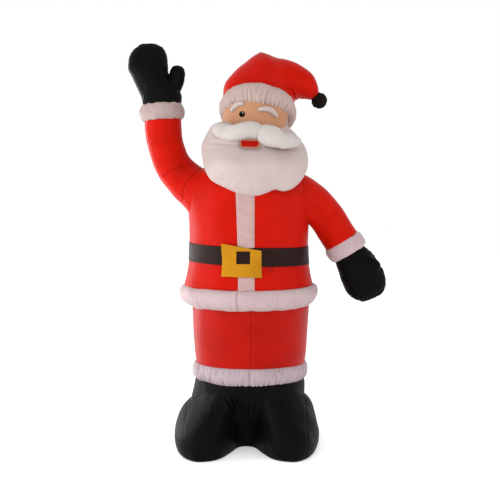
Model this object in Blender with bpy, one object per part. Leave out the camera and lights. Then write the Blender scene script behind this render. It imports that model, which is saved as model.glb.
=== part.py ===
"""Waving inflatable Santa figure for the garden, 2.4 m tall, as faceted solids.

Metres, +Z up. The figure faces -Y and stands on the ground at z = 0, with the origin
under the middle of its round body. The real thing is one sewn envelope full of air, so
each group of panels of one colour is a closed solid. Its raised arm is at -X.
"""

import math

import bmesh
import bpy
from mathutils import Matrix, Vector

# Clearance between pieces that are sewn together
GAP = 0.0003

# Heights of the stacked tubes, from the ground up
BOOT_HEIGHT = 0.383
TROUSER_TRIM_HEIGHT = 0.109
TROUSER_HEIGHT = 0.330
COAT_TRIM_HEIGHT = 0.137
COAT_HEIGHT = 0.750

# Radii of the round body, and its depth as a share of its width
ANKLE_RADIUS = 0.325
TROUSER_FLARE = 0.026
TROUSER_ROUNDNESS = 0.55
TROUSER_RADIUS = ANKLE_RADIUS + TROUSER_FLARE
HEM_RADIUS = 0.384
CHEST_RADIUS = 0.353
BODY_DEPTH = 0.97

# How far each padded trim stands out from the tubes above and below it
TROUSER_TRIM_BULGE = 0.025
COAT_TRIM_BULGE = 0.048
COAT_TRIM_SHIFT = -0.009

# The coat: how far its hem flares upwards, and where its dome begins, as shares of its height
FLARE_SHARE = 0.32
DOME_SHARE = 0.55
DOME_ROUNDNESS = 3.0

# The black foot of the figure, two boots in one
BOOT_SHIFT = -0.022
BOOT_SHOULDER_HEIGHT = 0.305
BOOT_WIDEST_HEIGHT = 0.075
BOOT_SQUARENESS = 0.85
SOLE_INSET = 0.028
TOE_REACH = 0.455
BOOT_HALF_WIDTH = 0.418
# Half of the sole's outline from the cleft between the toes to the heel: (share of the
# half width outwards, share of the toe's reach forwards)
SOLE_OUTLINE = (
    (0.06, 0.43),
    (0.15, 0.50),
    (0.26, 0.72),
    (0.39, 0.91),
    (0.56, 0.99),
    (0.72, 0.98),
    (0.88, 0.81),
    (0.98, 0.48),
    (1.00, 0.14),
    (0.94, -0.20),
    (0.72, -0.52),
    (0.38, -0.69),
)

# Belt, buckle and the two front strips, flat cloth that lies on the coat
BELT_WIDTH = 0.106
BELT_THICKNESS = 0.003
BELT_HEIGHT_ON_COAT = 0.184
BELT_TILT_DEG = 1.7
BELT_CLEARANCE = 0.002
STRIP_WIDTH = 0.093
STRIP_TOP_EXTRA = 0.014
STRIP_THICKNESS = 0.0025
STRIP_OFFSET = -0.021
STRIP_TOP_SHARE = 0.9
STRIP_SINK = 0.02
BUCKLE_WIDTH = 0.224
BUCKLE_HEIGHT = 0.165
BUCKLE_OFFSET = -0.045
BUCKLE_DROP = -0.027
BUCKLE_THICKNESS = 0.004
BUCKLE_STAND_OFF = 0.004
BUCKLE_TOP_SLOPE = -0.184
BUCKLE_BOTTOM_SLOPE = -0.072
WINDOW_WIDTH = 0.075
WINDOW_HEIGHT = 0.073
WINDOW_OFFSET = 0.008
WINDOW_RISE = 0.020

# Sleeves: each a bent tube, its spine from inside the chest to the wrist, as offsets
# (outwards, upwards) from the top of the coat
SLEEVE_DEPTH = 0.02
RAISED_SPINE = (
    (0.150, -0.270),
    (0.245, -0.235),
    (0.336, -0.174),
    (0.406, -0.112),
    (0.460, -0.042),
    (0.491, 0.028),
    (0.512, 0.115),
    (0.520, 0.223),
)
RAISED_RADII = (0.145, 0.138, 0.121, 0.113, 0.108, 0.108, 0.107, 0.108)
LOWERED_SPINE = (
    (0.120, -0.230),
    (0.205, -0.213),
    (0.288, -0.216),
    (0.357, -0.249),
    (0.416, -0.300),
    (0.465, -0.363),
    (0.510, -0.430),
    (0.550, -0.493),
)
LOWERED_RADII = (0.120, 0.120, 0.118, 0.111, 0.105, 0.102, 0.102, 0.104)

# Cuffs
RAISED_CUFF_LENGTH = 0.096
LOWERED_CUFF_LENGTH = 0.088
CUFF_RADIUS = 0.135
LOWERED_CUFF_RADIUS = 0.124
CUFF_DEPTH = 0.92

# Mittens: stations along the hand (reach from the wrist, shift to the thumb's side, half
# width, half depth), then the thumb's spine (reach, shift, forwards) and its radii
RAISED_PALM = (
    (0.000, 0.000, 0.108, 0.098),
    (0.060, -0.014, 0.113, 0.096),
    (0.120, -0.040, 0.110, 0.092),
    (0.175, -0.066, 0.110, 0.090),
    (0.216, -0.077, 0.114, 0.088),
    (0.255, -0.079, 0.109, 0.080),
    (0.292, -0.074, 0.097, 0.066),
    (0.325, -0.070, 0.072, 0.046),
    (0.345, -0.067, 0.042, 0.026),
)
RAISED_TIP = 0.354
RAISED_THUMB = ((0.020, 0.030, 0.0), (0.095, 0.066, 0.0), (0.158, 0.094, 0.0), (0.211, 0.104, 0.0))
RAISED_THUMB_RADIUS = 0.050
LOWERED_PALM = (
    (0.000, 0.000, 0.094, 0.088),
    (0.048, 0.010, 0.108, 0.092),
    (0.102, 0.018, 0.117, 0.092),
    (0.166, 0.021, 0.122, 0.088),
    (0.221, 0.019, 0.113, 0.078),
    (0.262, 0.017, 0.092, 0.060),
    (0.292, 0.012, 0.058, 0.038),
)
LOWERED_TIP = 0.310
LOWERED_THUMB = ((0.020, 0.030, 0.020), (0.062, 0.080, 0.038), (0.104, 0.106, 0.050), (0.150, 0.113, 0.058))
LOWERED_THUMB_RADIUS = 0.047
LOWERED_HAND_TURN_DEG = 7.0
HAND_SINK = 0.03

# The head leans back and to its left, and the hat band rings it
HEAD_ABOVE_COAT = 0.208
HEAD_SHIFT = 0.038
HEAD_FORWARD = 0.030
HEAD_HALF_WIDTH = 0.203
HEAD_HALF_DEPTH = 0.262
HEAD_HALF_HEIGHT = 0.300
LEAN_BACK_DEG = 20.0
LEAN_SIDE_DEG = 7.5
HAIR_SPLIT = 0.08
HAIR_SPLIT_TURN_DEG = 17.0

BAND_RISE = 0.075
BAND_RADIUS = 0.188
BAND_HALF_THICKNESS = 0.041
BAND_HALF_HEIGHT = 0.061
BAND_DEPTH_SHARE = 0.97

# The hat bends over towards +X. Sections from brim to tip, as shares of its brim radius:
# (outwards, backwards, upwards, half width, half depth), and its turn in degrees
HAT_RADIUS = 0.210
HAT_RISE = 0.028
BRIM_WIDTH_SHARE = 0.97
BRIM_DEPTH_SHARE = 0.92
HAT_SECTIONS = (
    (0.00, 0.00, 0.18, 0.985, 1.06, 7),
    (0.07, 0.06, 0.41, 0.990, 1.03, 15),
    (0.25, 0.14, 0.67, 0.920, 0.94, 30),
    (0.54, 0.19, 0.88, 0.820, 0.80, 51),
    (0.84, 0.16, 0.82, 0.645, 0.66, 67),
    (1.13, 0.11, 0.74, 0.505, 0.54, 86),
    (1.36, 0.06, 0.57, 0.375, 0.40, 102),
    (1.54, 0.02, 0.40, 0.225, 0.25, 116),
    (1.61, 0.00, 0.30, 0.125, 0.13, 133),
)
POMPOM_RADIUS = 0.046
POMPOM_SINK = 0.012

# The beard, a pillow before the face and chest, in metres forward of the head's middle: its
# front low down and under the moustache, with the drops below the head's middle between which
# it slopes back, then its sewn edge at the cheeks and under the chin, and its hidden back
BEARD_SHIFT = 0.026
BEARD_BELOW_HEAD = 0.205
BEARD_FRONT = 0.385
BEARD_LIP = 0.250
BEARD_FULL_DROP = 0.270
BEARD_LIP_DROP = 0.060
BEARD_CHEEK_EDGE = 0.095
BEARD_CHIN_EDGE = 0.290
BEARD_BACK = 0.090
# Its outline from the left temple round the chin, as (across, up) from its own middle
BEARD_OUTLINE = (
    (-0.150, 0.210),
    (-0.226, 0.189),
    (-0.268, 0.122),
    (-0.303, 0.045),
    (-0.307, -0.030),
    (-0.284, -0.092),
    (-0.240, -0.141),
    (-0.166, -0.180),
    (-0.100, -0.209),
    (-0.034, -0.228),
    (0.022, -0.226),
    (0.076, -0.205),
    (0.114, -0.191),
    (0.165, -0.199),
    (0.218, -0.181),
    (0.268, -0.134),
    (0.302, -0.068),
    (0.312, 0.000),
    (0.302, 0.070),
    (0.272, 0.130),
    (0.228, 0.184),
    (0.150, 0.210),
    (0.000, 0.225),
)
# The opening in the beard where the mouth shows: half sizes, place from the head's middle,
# and how far before the head's middle its rim is sewn down
MOUTH_OPENING = (0.070, 0.026)
MOUTH_SHIFT = -0.030
MOUTH_DROP = 0.137
MOUTH_RIM = 0.245
MOUTH_DIP_SHARE = 0.13
BEARD_ROUNDNESS = 2.6

# Moustache halves: stations from the parting to the tip, as (across, up, forward) from the
# head's middle, then the half height of the roll there
MOUSTACHE_LEFT = (
    (0.010, -0.070, 0.310, 0.030),
    (-0.003, -0.067, 0.316, 0.041),
    (-0.038, -0.061, 0.321, 0.046),
    (-0.078, -0.066, 0.318, 0.046),
    (-0.118, -0.077, 0.306, 0.046),
    (-0.158, -0.076, 0.284, 0.047),
    (-0.194, -0.062, 0.254, 0.046),
    (-0.221, -0.051, 0.226, 0.038),
    (-0.234, -0.044, 0.212, 0.024),
)
MOUSTACHE_RIGHT = (
    (0.024, -0.070, 0.310, 0.028),
    (0.038, -0.079, 0.316, 0.044),
    (0.060, -0.089, 0.324, 0.057),
    (0.092, -0.103, 0.330, 0.059),
    (0.128, -0.117, 0.328, 0.051),
    (0.162, -0.124, 0.316, 0.045),
    (0.196, -0.124, 0.294, 0.039),
    (0.224, -0.122, 0.268, 0.030),
    (0.238, -0.123, 0.256, 0.020),
)
MOUSTACHE_THICKNESS_SHARE = 0.86

# Eyebrows: (across, up) from the head's middle
EYEBROW_RADIUS = 0.013
EYEBROW_LEFT = ((-0.142, 0.046), (-0.135, 0.066), (-0.116, 0.082), (-0.094, 0.092), (-0.074, 0.088))
EYEBROW_RIGHT = (
    (0.004, 0.052),
    (0.030, 0.057),
    (0.060, 0.057),
    (0.084, 0.049),
    (0.104, 0.031),
    (0.117, 0.010),
)

# Faces around each kind of piece
BODY_SIDES = 32
BOOT_SIDES = 40
BEARD_SIDES = 30
LIMB_SIDES = 16
HAT_SIDES = 22
MOUSTACHE_SIDES = 14
SMALL_SIDES = 10
SLEEVE_STATIONS = 11

# Colour (linear) and roughness of each cloth
RED = ((0.62, 0.016, 0.006), 0.42)
WHITE = ((0.80, 0.76, 0.76), 0.55)
BLACK = ((0.012, 0.012, 0.013), 0.45)
SKIN = ((0.66, 0.33, 0.18), 0.55)
YELLOW = ((0.78, 0.43, 0.025), 0.5)
PLUSH = ((0.86, 0.85, 0.84), 0.8)

OUT = Vector((1.0, 0.0, 0.0))
FORWARD = Vector((0.0, -1.0, 0.0))
UP = Vector((0.0, 0.0, 1.0))


def spline(keys, position):
    """Value at position (0 to 1) of a smooth curve through evenly spaced keys."""
    last = len(keys) - 1
    at = min(max(position, 0.0), 1.0) * last
    i = min(int(at), last - 1)
    t = at - i
    a, b, c, d = (keys[min(max(i + k, 0), last)] for k in (-1, 0, 1, 2))
    slope_b = (c - a) * 0.5
    slope_c = (d - b) * 0.5
    return (
        b * (2 * t**3 - 3 * t**2 + 1)
        + slope_b * (t**3 - 2 * t**2 + t)
        + c * (3 * t**2 - 2 * t**3)
        + slope_c * (t**3 - t**2)
    )


def ease(share):
    """Runs smoothly from 0 to 1 as share does, and is level beyond."""
    held = min(1.0, max(0.0, share))
    return held * held * (3.0 - 2.0 * held)


def closed_spline(points, count):
    """count points along the smooth closed curve through points."""
    total = len(points)
    found = []
    for step in range(count):
        at = step * total / count
        i = int(at)
        window = [Vector(points[(i + k) % total]) for k in (-1, 0, 1, 2)]
        found.append(spline(window, (1 + at - i) / 3))
    return found


def ring(centre, across, along, count):
    """count points of the ellipse with half axes across and along."""
    turns = [math.tau * step / count for step in range(count)]
    return [centre + across * math.cos(turn) + along * math.sin(turn) for turn in turns]


def material(name, cloth):
    colour, roughness = cloth
    made = bpy.data.materials.get(name) or bpy.data.materials.new(name)
    made.use_nodes = True
    shader = made.node_tree.nodes["Principled BSDF"]
    shader.inputs["Base Color"].default_value = (*colour, 1.0)
    shader.inputs["Roughness"].default_value = roughness
    shader.inputs["Metallic"].default_value = 0.0
    made.diffuse_color = (*colour, 1.0)
    return made


def place(name, builder, cloth):
    """Turns a bmesh into a named object. Without a cloth it is a cutter, which isn't rendered."""
    bmesh.ops.recalc_face_normals(builder, faces=builder.faces)
    mesh = bpy.data.meshes.new(name)
    builder.to_mesh(mesh)
    builder.free()
    mesh.shade_smooth()
    mesh.set_sharp_from_angle(angle=math.radians(50))
    made = bpy.data.objects.new(name, mesh)
    bpy.context.scene.collection.objects.link(made)
    if cloth is None:
        made.hide_render = True
        made.display_type = "WIRE"
    else:
        mesh.materials.append(material(*cloth))
    return made


def skin(name, rings, cloth=None, closed=False):
    """A closed solid through rings of points. A ring of one point is a pole, an end ring gets a flat cap,
    and a closed skin runs back from its last ring to its first, like a band."""
    builder = bmesh.new()
    loops = [[builder.verts.new(point) for point in points] for points in rings]
    pairs = list(zip(loops, loops[1:]))
    if closed:
        pairs.append((loops[-1], loops[0]))
    for low, high in pairs:
        count = max(len(low), len(high))
        for i in range(count):
            j = (i + 1) % count
            if len(low) > 1:
                builder.faces.new([low[i], low[j], high[j % len(high)]])
            if len(high) > 1:
                builder.faces.new([low[i % len(low)], high[j], high[i]])
    if not closed:
        for end in (loops[0], loops[-1]):
            if len(end) > 1:
                builder.faces.new(end)
    return place(name, builder, cloth)


def panel(name, point, columns, rows, cloth=None):
    """A closed sheet. point(u, v, side) gives its inner (side 0) or outer (side 1) face."""
    rings = []
    for column in range(columns + 1):
        u = column / columns
        inner = [point(u, row / rows, 0) for row in range(rows + 1)]
        outer = [point(u, row / rows, 1) for row in range(rows, -1, -1)]
        rings.append(inner + outer)
    return skin(name, rings, cloth)


def cut(piece, *cutters):
    for cutter in cutters:
        boolean = piece.modifiers.new("cut by " + cutter.name, "BOOLEAN")
        boolean.operation = "DIFFERENCE"
        boolean.object = cutter


def join(piece, other):
    boolean = piece.modifiers.new("joined to " + other.name, "BOOLEAN")
    boolean.operation = "UNION"
    boolean.object = other


def stack_levels():
    """Lowest height of each stacked tube, and the top of the coat."""
    heights = {
        "boots": BOOT_HEIGHT,
        "trouser_trim": TROUSER_TRIM_HEIGHT,
        "trousers": TROUSER_HEIGHT,
        "coat_trim": COAT_TRIM_HEIGHT,
        "coat": COAT_HEIGHT,
    }
    levels = {}
    base = 0.0
    for name, height in heights.items():
        levels[name] = base
        base += height
    levels["coat_top"] = base
    return levels


LEVEL = stack_levels()


def body_ring(radius, height, count=BODY_SIDES):
    return ring(UP * height, OUT * radius, FORWARD * (radius * BODY_DEPTH), count)


def coat_radius(height):
    """Radius of the coat: a tube with a flared hem and a domed top."""
    share = (height - LEVEL["coat"]) / COAT_HEIGHT
    flare = max(0.0, 1.0 - share / FLARE_SHARE) ** 2
    dome = max(0.0, share - DOME_SHARE) / (1.0 - DOME_SHARE)
    round_off = max(0.0, 1.0 - dome**DOME_ROUNDNESS) ** (1.0 / DOME_ROUNDNESS)
    return CHEST_RADIUS * round_off + (HEM_RADIUS - CHEST_RADIUS) * flare


def coat_shares():
    """Heights of the coat's rings, as shares of its own height."""
    dome = [math.sin(turn * math.pi / 14) for turn in range(1, 7)]
    tube = [0.0, 0.25 * FLARE_SHARE, 0.55 * FLARE_SHARE, FLARE_SHARE, DOME_SHARE]
    return tube + [DOME_SHARE + (1.0 - DOME_SHARE) * step for step in dome]


def facet_radius(height):
    """Radius of the coat's flat facets at that height."""
    levels = [LEVEL["coat"] + share * COAT_HEIGHT for share in coat_shares()]
    i = max(k for k, level in enumerate(levels[:-1]) if k == 0 or level <= height)
    share = (height - levels[i]) / (levels[i + 1] - levels[i])
    return coat_radius(levels[i]) * (1.0 - share) + coat_radius(levels[i + 1]) * share


def coat_rings(grow=0.0):
    """The coat's rings; grow makes the cutter that keeps its neighbours clear of it."""
    shares = coat_shares()
    bottom = GAP - grow
    rings = [body_ring(HEM_RADIUS + grow, LEVEL["coat"] + bottom)]
    for share in shares[1:]:
        height = LEVEL["coat"] + share * COAT_HEIGHT
        rings.append(body_ring(coat_radius(height) + grow, height))
    rings.append([UP * (LEVEL["coat_top"] + grow)])
    return rings


def bulge_rings(base, height, low_radius, high_radius, bulge, shift=0.0):
    """Rings of a padded trim between two tubes."""
    rings = []
    for share in (0.0, 0.08, 0.3, 0.7, 0.92, 1.0):
        radius = low_radius + (high_radius - low_radius) * share
        swell = math.sqrt(math.sin(math.pi * share)) if 0 < share < 1 else 0.0
        points = body_ring(radius + bulge * swell, base + GAP + (height - GAP) * share)
        rings.append([point + OUT * (shift * swell) for point in points])
    return rings


def boot_profile(shaft, toe):
    """(radius, height) down one side of the boots, from the trouser trim to the sole."""
    points = [(shaft, BOOT_HEIGHT), (shaft, BOOT_SHOULDER_HEIGHT)]
    fall = BOOT_SHOULDER_HEIGHT - BOOT_WIDEST_HEIGHT
    for turn in (0.2, 0.45, 0.75, 1.1, math.pi / 2):
        reach = math.sin(turn) ** BOOT_SQUARENESS if toe > shaft else 1.0 - math.cos(turn)
        height = max(0.0, math.cos(turn)) ** BOOT_SQUARENESS
        points.append((shaft + (toe - shaft) * reach, BOOT_WIDEST_HEIGHT + fall * height))
    for step in range(1, 4):
        turn = step * math.pi / 6
        points.append((toe - SOLE_INSET * (1 - math.cos(turn)), BOOT_WIDEST_HEIGHT * (1 - math.sin(turn))))
    return points


def boots():
    half = [(x * BOOT_HALF_WIDTH, -y * TOE_REACH) for x, y in SOLE_OUTLINE]
    mirrored = [(-x, y) for x, y in reversed(half)]
    outline = closed_spline([Vector((x, y, 0.0)) for x, y in half + mirrored], BOOT_SIDES)
    columns = []
    for point in outline:
        toe = point.length
        across = point.x / toe
        ahead = point.y / toe
        shaft = ANKLE_RADIUS / math.hypot(across, ahead / BODY_DEPTH)
        column = []
        for radius, height in boot_profile(shaft, toe):
            low = 1.0 - height / BOOT_HEIGHT
            shift = BOOT_SHIFT * min(1.0, 2.0 * low)
            column.append(Vector((across * radius + shift, ahead * radius, height)))
        columns.append(column)
    rings = [[column[i] for column in columns] for i in range(len(columns[0]))]
    return skin("boots", rings, ("black nylon", BLACK))


def trousers():
    """The trousers' tube, with its trim below."""
    red = []
    for share in (0.0, 0.1, 0.35, 1.0):
        radius = ANKLE_RADIUS + TROUSER_FLARE * share**TROUSER_ROUNDNESS
        red.append(body_ring(radius, LEVEL["trousers"] + GAP + (TROUSER_HEIGHT - GAP) * share))
    skin("trousers", red, ("red nylon", RED))
    trim = bulge_rings(
        LEVEL["trouser_trim"], TROUSER_TRIM_HEIGHT, ANKLE_RADIUS, ANKLE_RADIUS, TROUSER_TRIM_BULGE
    )
    skin("trouser_trim", trim, ("white nylon", WHITE))


def coat():
    skin("coat", coat_rings(), ("red nylon", RED))
    trim = bulge_rings(
        LEVEL["coat_trim"], COAT_TRIM_HEIGHT, TROUSER_RADIUS, HEM_RADIUS, COAT_TRIM_BULGE, COAT_TRIM_SHIFT
    )
    skin("coat_trim", trim, ("white nylon", WHITE))


def on_coat(across, height, lift):
    """A point lift in front of the coat at that place across and height."""
    radius = coat_radius(height) + lift
    ahead = BODY_DEPTH * math.sqrt(max(0.0, 1.0 - (across / radius) ** 2)) * radius
    return Vector((across, -ahead, height))


def belt():
    """A ring of thin cloth round the coat, a little lower at +X."""
    slope = -math.tan(math.radians(BELT_TILT_DEG))
    middle = LEVEL["coat"] + BELT_HEIGHT_ON_COAT
    rings = []
    for lift, row in ((GAP, -0.5), (GAP, 0.5), (BELT_THICKNESS, 0.5), (BELT_THICKNESS, -0.5)):
        points = []
        for way in body_ring(1.0, 0.0):
            height = middle + row * BELT_WIDTH + way.x * coat_radius(middle) * slope
            radius = facet_radius(height) + lift
            points.append(Vector((way.x * radius, way.y * radius, height)))
        rings.append(points)
    skin("belt", rings, ("black nylon", BLACK), closed=True)


def strips(coat_cutter, beard_cutter):
    """The white strips down the coat's front, above and below the belt."""
    slope = -math.tan(math.radians(BELT_TILT_DEG))
    belt_middle = LEVEL["coat"] + BELT_HEIGHT_ON_COAT + STRIP_OFFSET * slope
    clear = BELT_WIDTH / 2 + BELT_CLEARANCE
    spans = {
        "front_strip_upper": (belt_middle + clear, LEVEL["coat"] + STRIP_TOP_SHARE * COAT_HEIGHT),
        "front_strip_lower": (LEVEL["coat"] + GAP, belt_middle - clear),
    }
    for name, (low, high) in spans.items():
        def point(u, v, side):
            lift = STRIP_THICKNESS if side else -STRIP_SINK
            across = STRIP_OFFSET + (u - 0.5) * STRIP_WIDTH
            tilt = (u - 0.5) * STRIP_WIDTH * slope
            low_tilt = tilt * (name == "front_strip_upper")
            high_tilt = tilt - low_tilt
            height = (low + low_tilt) * (1 - v) + (high + high_tilt) * v
            widening = STRIP_TOP_EXTRA * (1 - u) * max(0.0, height - belt_middle) / (COAT_HEIGHT / 2)
            return on_coat(across - widening, height, lift)

        made = panel(name, point, 4, 8 if name == "front_strip_upper" else 3, ("white nylon", WHITE))
        cut(made, coat_cutter, beard_cutter)


def buckle():
    """A sheet of yellow cloth that hangs before the belt, with a square window."""
    middle = LEVEL["coat"] + BELT_HEIGHT_ON_COAT + BUCKLE_DROP
    clear = BELT_THICKNESS + BUCKLE_STAND_OFF
    radius = coat_radius(middle)

    def point(u, v, side):
        across = (u - 0.5) * BUCKLE_WIDTH
        low = -BUCKLE_HEIGHT / 2 + across * BUCKLE_BOTTOM_SLOPE
        high = BUCKLE_HEIGHT / 2 + across * BUCKLE_TOP_SLOPE
        height = middle + low * (1 - v) + high * v
        lift = max(coat_radius(height), radius) - coat_radius(height) + clear + side * BUCKLE_THICKNESS
        return on_coat(BUCKLE_OFFSET + across, height, lift)

    made = panel("buckle", point, 8, 2, ("yellow cloth", YELLOW))
    centre = Vector((BUCKLE_OFFSET + WINDOW_OFFSET, -radius, middle + WINDOW_RISE))
    size = Vector((WINDOW_WIDTH, radius / 2, WINDOW_HEIGHT))
    builder = bmesh.new()
    opening = Matrix.Translation(centre) @ Matrix.Diagonal((*size, 1.0))
    bmesh.ops.create_cube(builder, size=1.0, matrix=opening)
    cut(made, place("buckle window", builder, None))


def tube_rings(spine, halves, count, front=FORWARD, end_pole=None):
    """Rings around the points of spine. Each has half sizes (in its own plane, towards front)."""
    rings = []
    for i, centre in enumerate(spine):
        way = (spine[min(i + 1, len(spine) - 1)] - spine[max(i - 1, 0)]).normalized()
        side = way.cross(front).normalized()
        depth = side.cross(way).normalized()
        wide, deep = halves[i]
        rings.append(ring(centre, side * wide, depth * deep, count))
    if end_pole is not None:
        rings.append([end_pole])
    return rings


def sleeve_path(spine, side):
    """Points along a sleeve. side is -1 for the raised arm at -X and 1 for the other."""
    points = [Vector((side * out, -SLEEVE_DEPTH, LEVEL["coat_top"] + rise)) for out, rise in spine]
    return [spline(points, step / (SLEEVE_STATIONS - 1)) for step in range(SLEEVE_STATIONS)]


def sleeve_rings(spine, radii, side, grow=0.0):
    path = sleeve_path(spine, side)
    sizes = [spline(radii, step / (SLEEVE_STATIONS - 1)) + grow for step in range(SLEEVE_STATIONS)]
    return tube_rings(path, [(size, size) for size in sizes], LIMB_SIDES)


def wrist(spine, side):
    """Where a sleeve ends, and which way it points there."""
    path = sleeve_path(spine, side)
    return path[-1], (path[-1] - path[-2]).normalized()


def cuff(name, spine, side, wrist_radius, length, radius):
    """A padded ring between a sleeve and its mitten. Returns where the mitten starts."""
    start, way = wrist(spine, side)
    across = way.cross(FORWARD).normalized()
    depth = across.cross(way)
    rings = []
    for share in (0.0, 0.05, 0.2, 0.5, 0.8, 0.95, 1.0):
        swell = math.sqrt(math.sin(math.pi * share)) if 0 < share < 1 else 0.0
        size = wrist_radius + (radius - wrist_radius) * swell
        deep = wrist_radius + (radius * CUFF_DEPTH - wrist_radius) * swell
        centre = start + way * (GAP + (length - GAP) * share)
        rings.append(ring(centre, across * size, depth * deep, LIMB_SIDES))
    skin(name, rings, ("white nylon", WHITE))
    return start + way * (length + GAP), way


def mitten(name, start, wrist_way, turn_deg, palm, tip, thumb, thumb_radius):
    """A padded hand on the cuff's end: a flattened palm and a thumb that is one with it."""
    way = Matrix.Rotation(math.radians(turn_deg), 3, "Y") @ wrist_way
    across = (OUT - way * OUT.dot(way)).normalized()
    ahead = across.cross(way)
    if ahead.y > 0:
        ahead = -ahead
    stations = 11
    keys = [Vector(key) for key in palm]
    _, shift, half, deep = keys[0]
    rings = [ring(start - way * HAND_SINK + across * shift, across * half, ahead * deep, LIMB_SIDES)]
    for step in range(stations):
        reach, shift, half, deep = spline(keys, step / (stations - 1))
        centre = start + way * reach + across * shift
        rings.append(ring(centre, across * half, ahead * deep, LIMB_SIDES))
    rings.append([start + way * tip + across * palm[-1][1]])
    hand = skin(name, rings, ("black nylon", BLACK))
    spine = [start + way * r + across * s + ahead * f for r, s, f in thumb]
    shares = (0.0, 0.25, 0.5, 0.7, 0.84, 0.94)
    path = [spline(spine, share) for share in shares]
    sizes = [thumb_radius * math.sqrt(1.0 - (max(0.0, share - 0.7) / 0.3) ** 2) for share in shares]
    rings = tube_rings(path, [(size, size) for size in sizes], SMALL_SIDES, end_pole=spine[-1])
    join(hand, skin(name + " thumb", rings))
    cut(hand, half_space(name + " cuff side", start, -wrist_way, 2 * tip))


def arms(coat_cutter):
    raised = sleeve_rings(RAISED_SPINE, RAISED_RADII, -1)
    cut(skin("sleeve_raised", raised, ("red nylon", RED)), coat_cutter)
    lowered = sleeve_rings(LOWERED_SPINE, LOWERED_RADII, 1)
    cut(skin("sleeve_lowered", lowered, ("red nylon", RED)), coat_cutter)
    start, way = cuff("cuff_raised", RAISED_SPINE, -1, RAISED_RADII[-1], RAISED_CUFF_LENGTH, CUFF_RADIUS)
    mitten("mitten_raised", start, way, 0.0, RAISED_PALM, RAISED_TIP, RAISED_THUMB, RAISED_THUMB_RADIUS)
    start, way = cuff(
        "cuff_lowered", LOWERED_SPINE, 1, LOWERED_RADII[-1], LOWERED_CUFF_LENGTH, LOWERED_CUFF_RADIUS
    )
    mitten(
        "mitten_lowered",
        start,
        way,
        LOWERED_HAND_TURN_DEG,
        LOWERED_PALM,
        LOWERED_TIP,
        LOWERED_THUMB,
        LOWERED_THUMB_RADIUS,
    )


def head_frame():
    """The head's centre, and its own across, forward and up directions."""
    lean = Matrix.Rotation(math.radians(LEAN_SIDE_DEG), 3, "Y")
    lean = lean @ Matrix.Rotation(math.radians(-LEAN_BACK_DEG), 3, "X")
    centre = Vector((HEAD_SHIFT, -HEAD_FORWARD, LEVEL["coat_top"] + HEAD_ABOVE_COAT))
    return centre, lean @ OUT, lean @ FORWARD, lean @ UP


def head_rings(grow=0.0):
    """The head from its chin to the plane where the hat begins."""
    centre, across, ahead, up = head_frame()
    top = math.asin((BAND_RISE + HAT_RISE) / HEAD_HALF_HEIGHT)
    turns = [-math.pi / 2 + (top + math.pi / 2) * step / 9 for step in range(1, 10)]
    rings = [[centre - up * (HEAD_HALF_HEIGHT + grow)]]
    for turn in turns:
        level = centre + up * (math.sin(turn) * HEAD_HALF_HEIGHT + (grow if turn == turns[-1] else 0.0))
        half = math.cos(turn) * HEAD_HALF_WIDTH + grow
        deep = math.cos(turn) * HEAD_HALF_DEPTH + grow
        rings.append(ring(level, across * half, ahead * deep, BODY_SIDES))
    return rings


def face_front(across, rise):
    """Depth y of the head's front at that place across and height from the head's middle."""
    centre, side, ahead, up = head_frame()
    sizes = (HEAD_HALF_WIDTH, HEAD_HALF_DEPTH, HEAD_HALF_HEIGHT)
    start = OUT * across + UP * rise
    a = b = c = 0.0
    for axis, size in zip((side, ahead, up), sizes):
        along = FORWARD.dot(axis) / size
        offset = start.dot(axis) / size
        a += along * along
        b += 2 * along * offset
        c += offset * offset
    under = max(0.0, b * b - 4 * a * (c - 1.0))
    return centre.y - (-b + math.sqrt(under)) / (2 * a)


def on_face(across, rise, lift):
    """A point lift in front of the face, measured from the head's middle."""
    centre = head_frame()[0]
    return Vector((centre.x + across, face_front(across, rise) - lift, centre.z + rise))


def half_space(name, centre, way, size):
    """A large box cutter on the side of a plane that way points to."""
    builder = bmesh.new()
    turn = way.to_track_quat("Z", "Y").to_matrix().to_4x4()
    shift = Matrix.Translation(centre + way * (size / 2))
    bmesh.ops.create_cube(builder, size=size, matrix=shift @ turn)
    return place(name, builder, None)


def head(coat_cutter):
    """The skin-coloured face and the white hair behind it share the head's form."""
    centre, _, ahead, up = head_frame()
    split = centre + ahead * HAIR_SPLIT
    way = Matrix.Rotation(math.radians(-HAIR_SPLIT_TURN_DEG), 3, up) @ ahead
    back = half_space("behind the face", split + way * GAP, -way, 4 * HEAD_HALF_HEIGHT)
    front = half_space("before the hair", split, way, 4 * HEAD_HALF_HEIGHT)
    face = skin("face", head_rings(), ("skin nylon", SKIN))
    cut(face, coat_cutter, back)
    hair = skin("hair", head_rings(), ("white nylon", WHITE))
    cut(hair, coat_cutter, front)


def band_rings(grow=0.0):
    """The hat band's rings round its tube, each one a loop about the head."""
    centre, across, ahead, up = head_frame()
    middle = centre + up * BAND_RISE
    rings = []
    for step in range(8):
        turn = math.tau * step / 8
        out = (BAND_HALF_THICKNESS + grow) * math.cos(turn)
        rise = (BAND_HALF_HEIGHT + grow) * math.sin(turn)
        side = BAND_RADIUS + out
        deep = side * HEAD_HALF_DEPTH / HEAD_HALF_WIDTH * BAND_DEPTH_SHARE
        rings.append(ring(middle + up * rise, across * side, ahead * deep, BODY_SIDES))
    return rings


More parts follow.
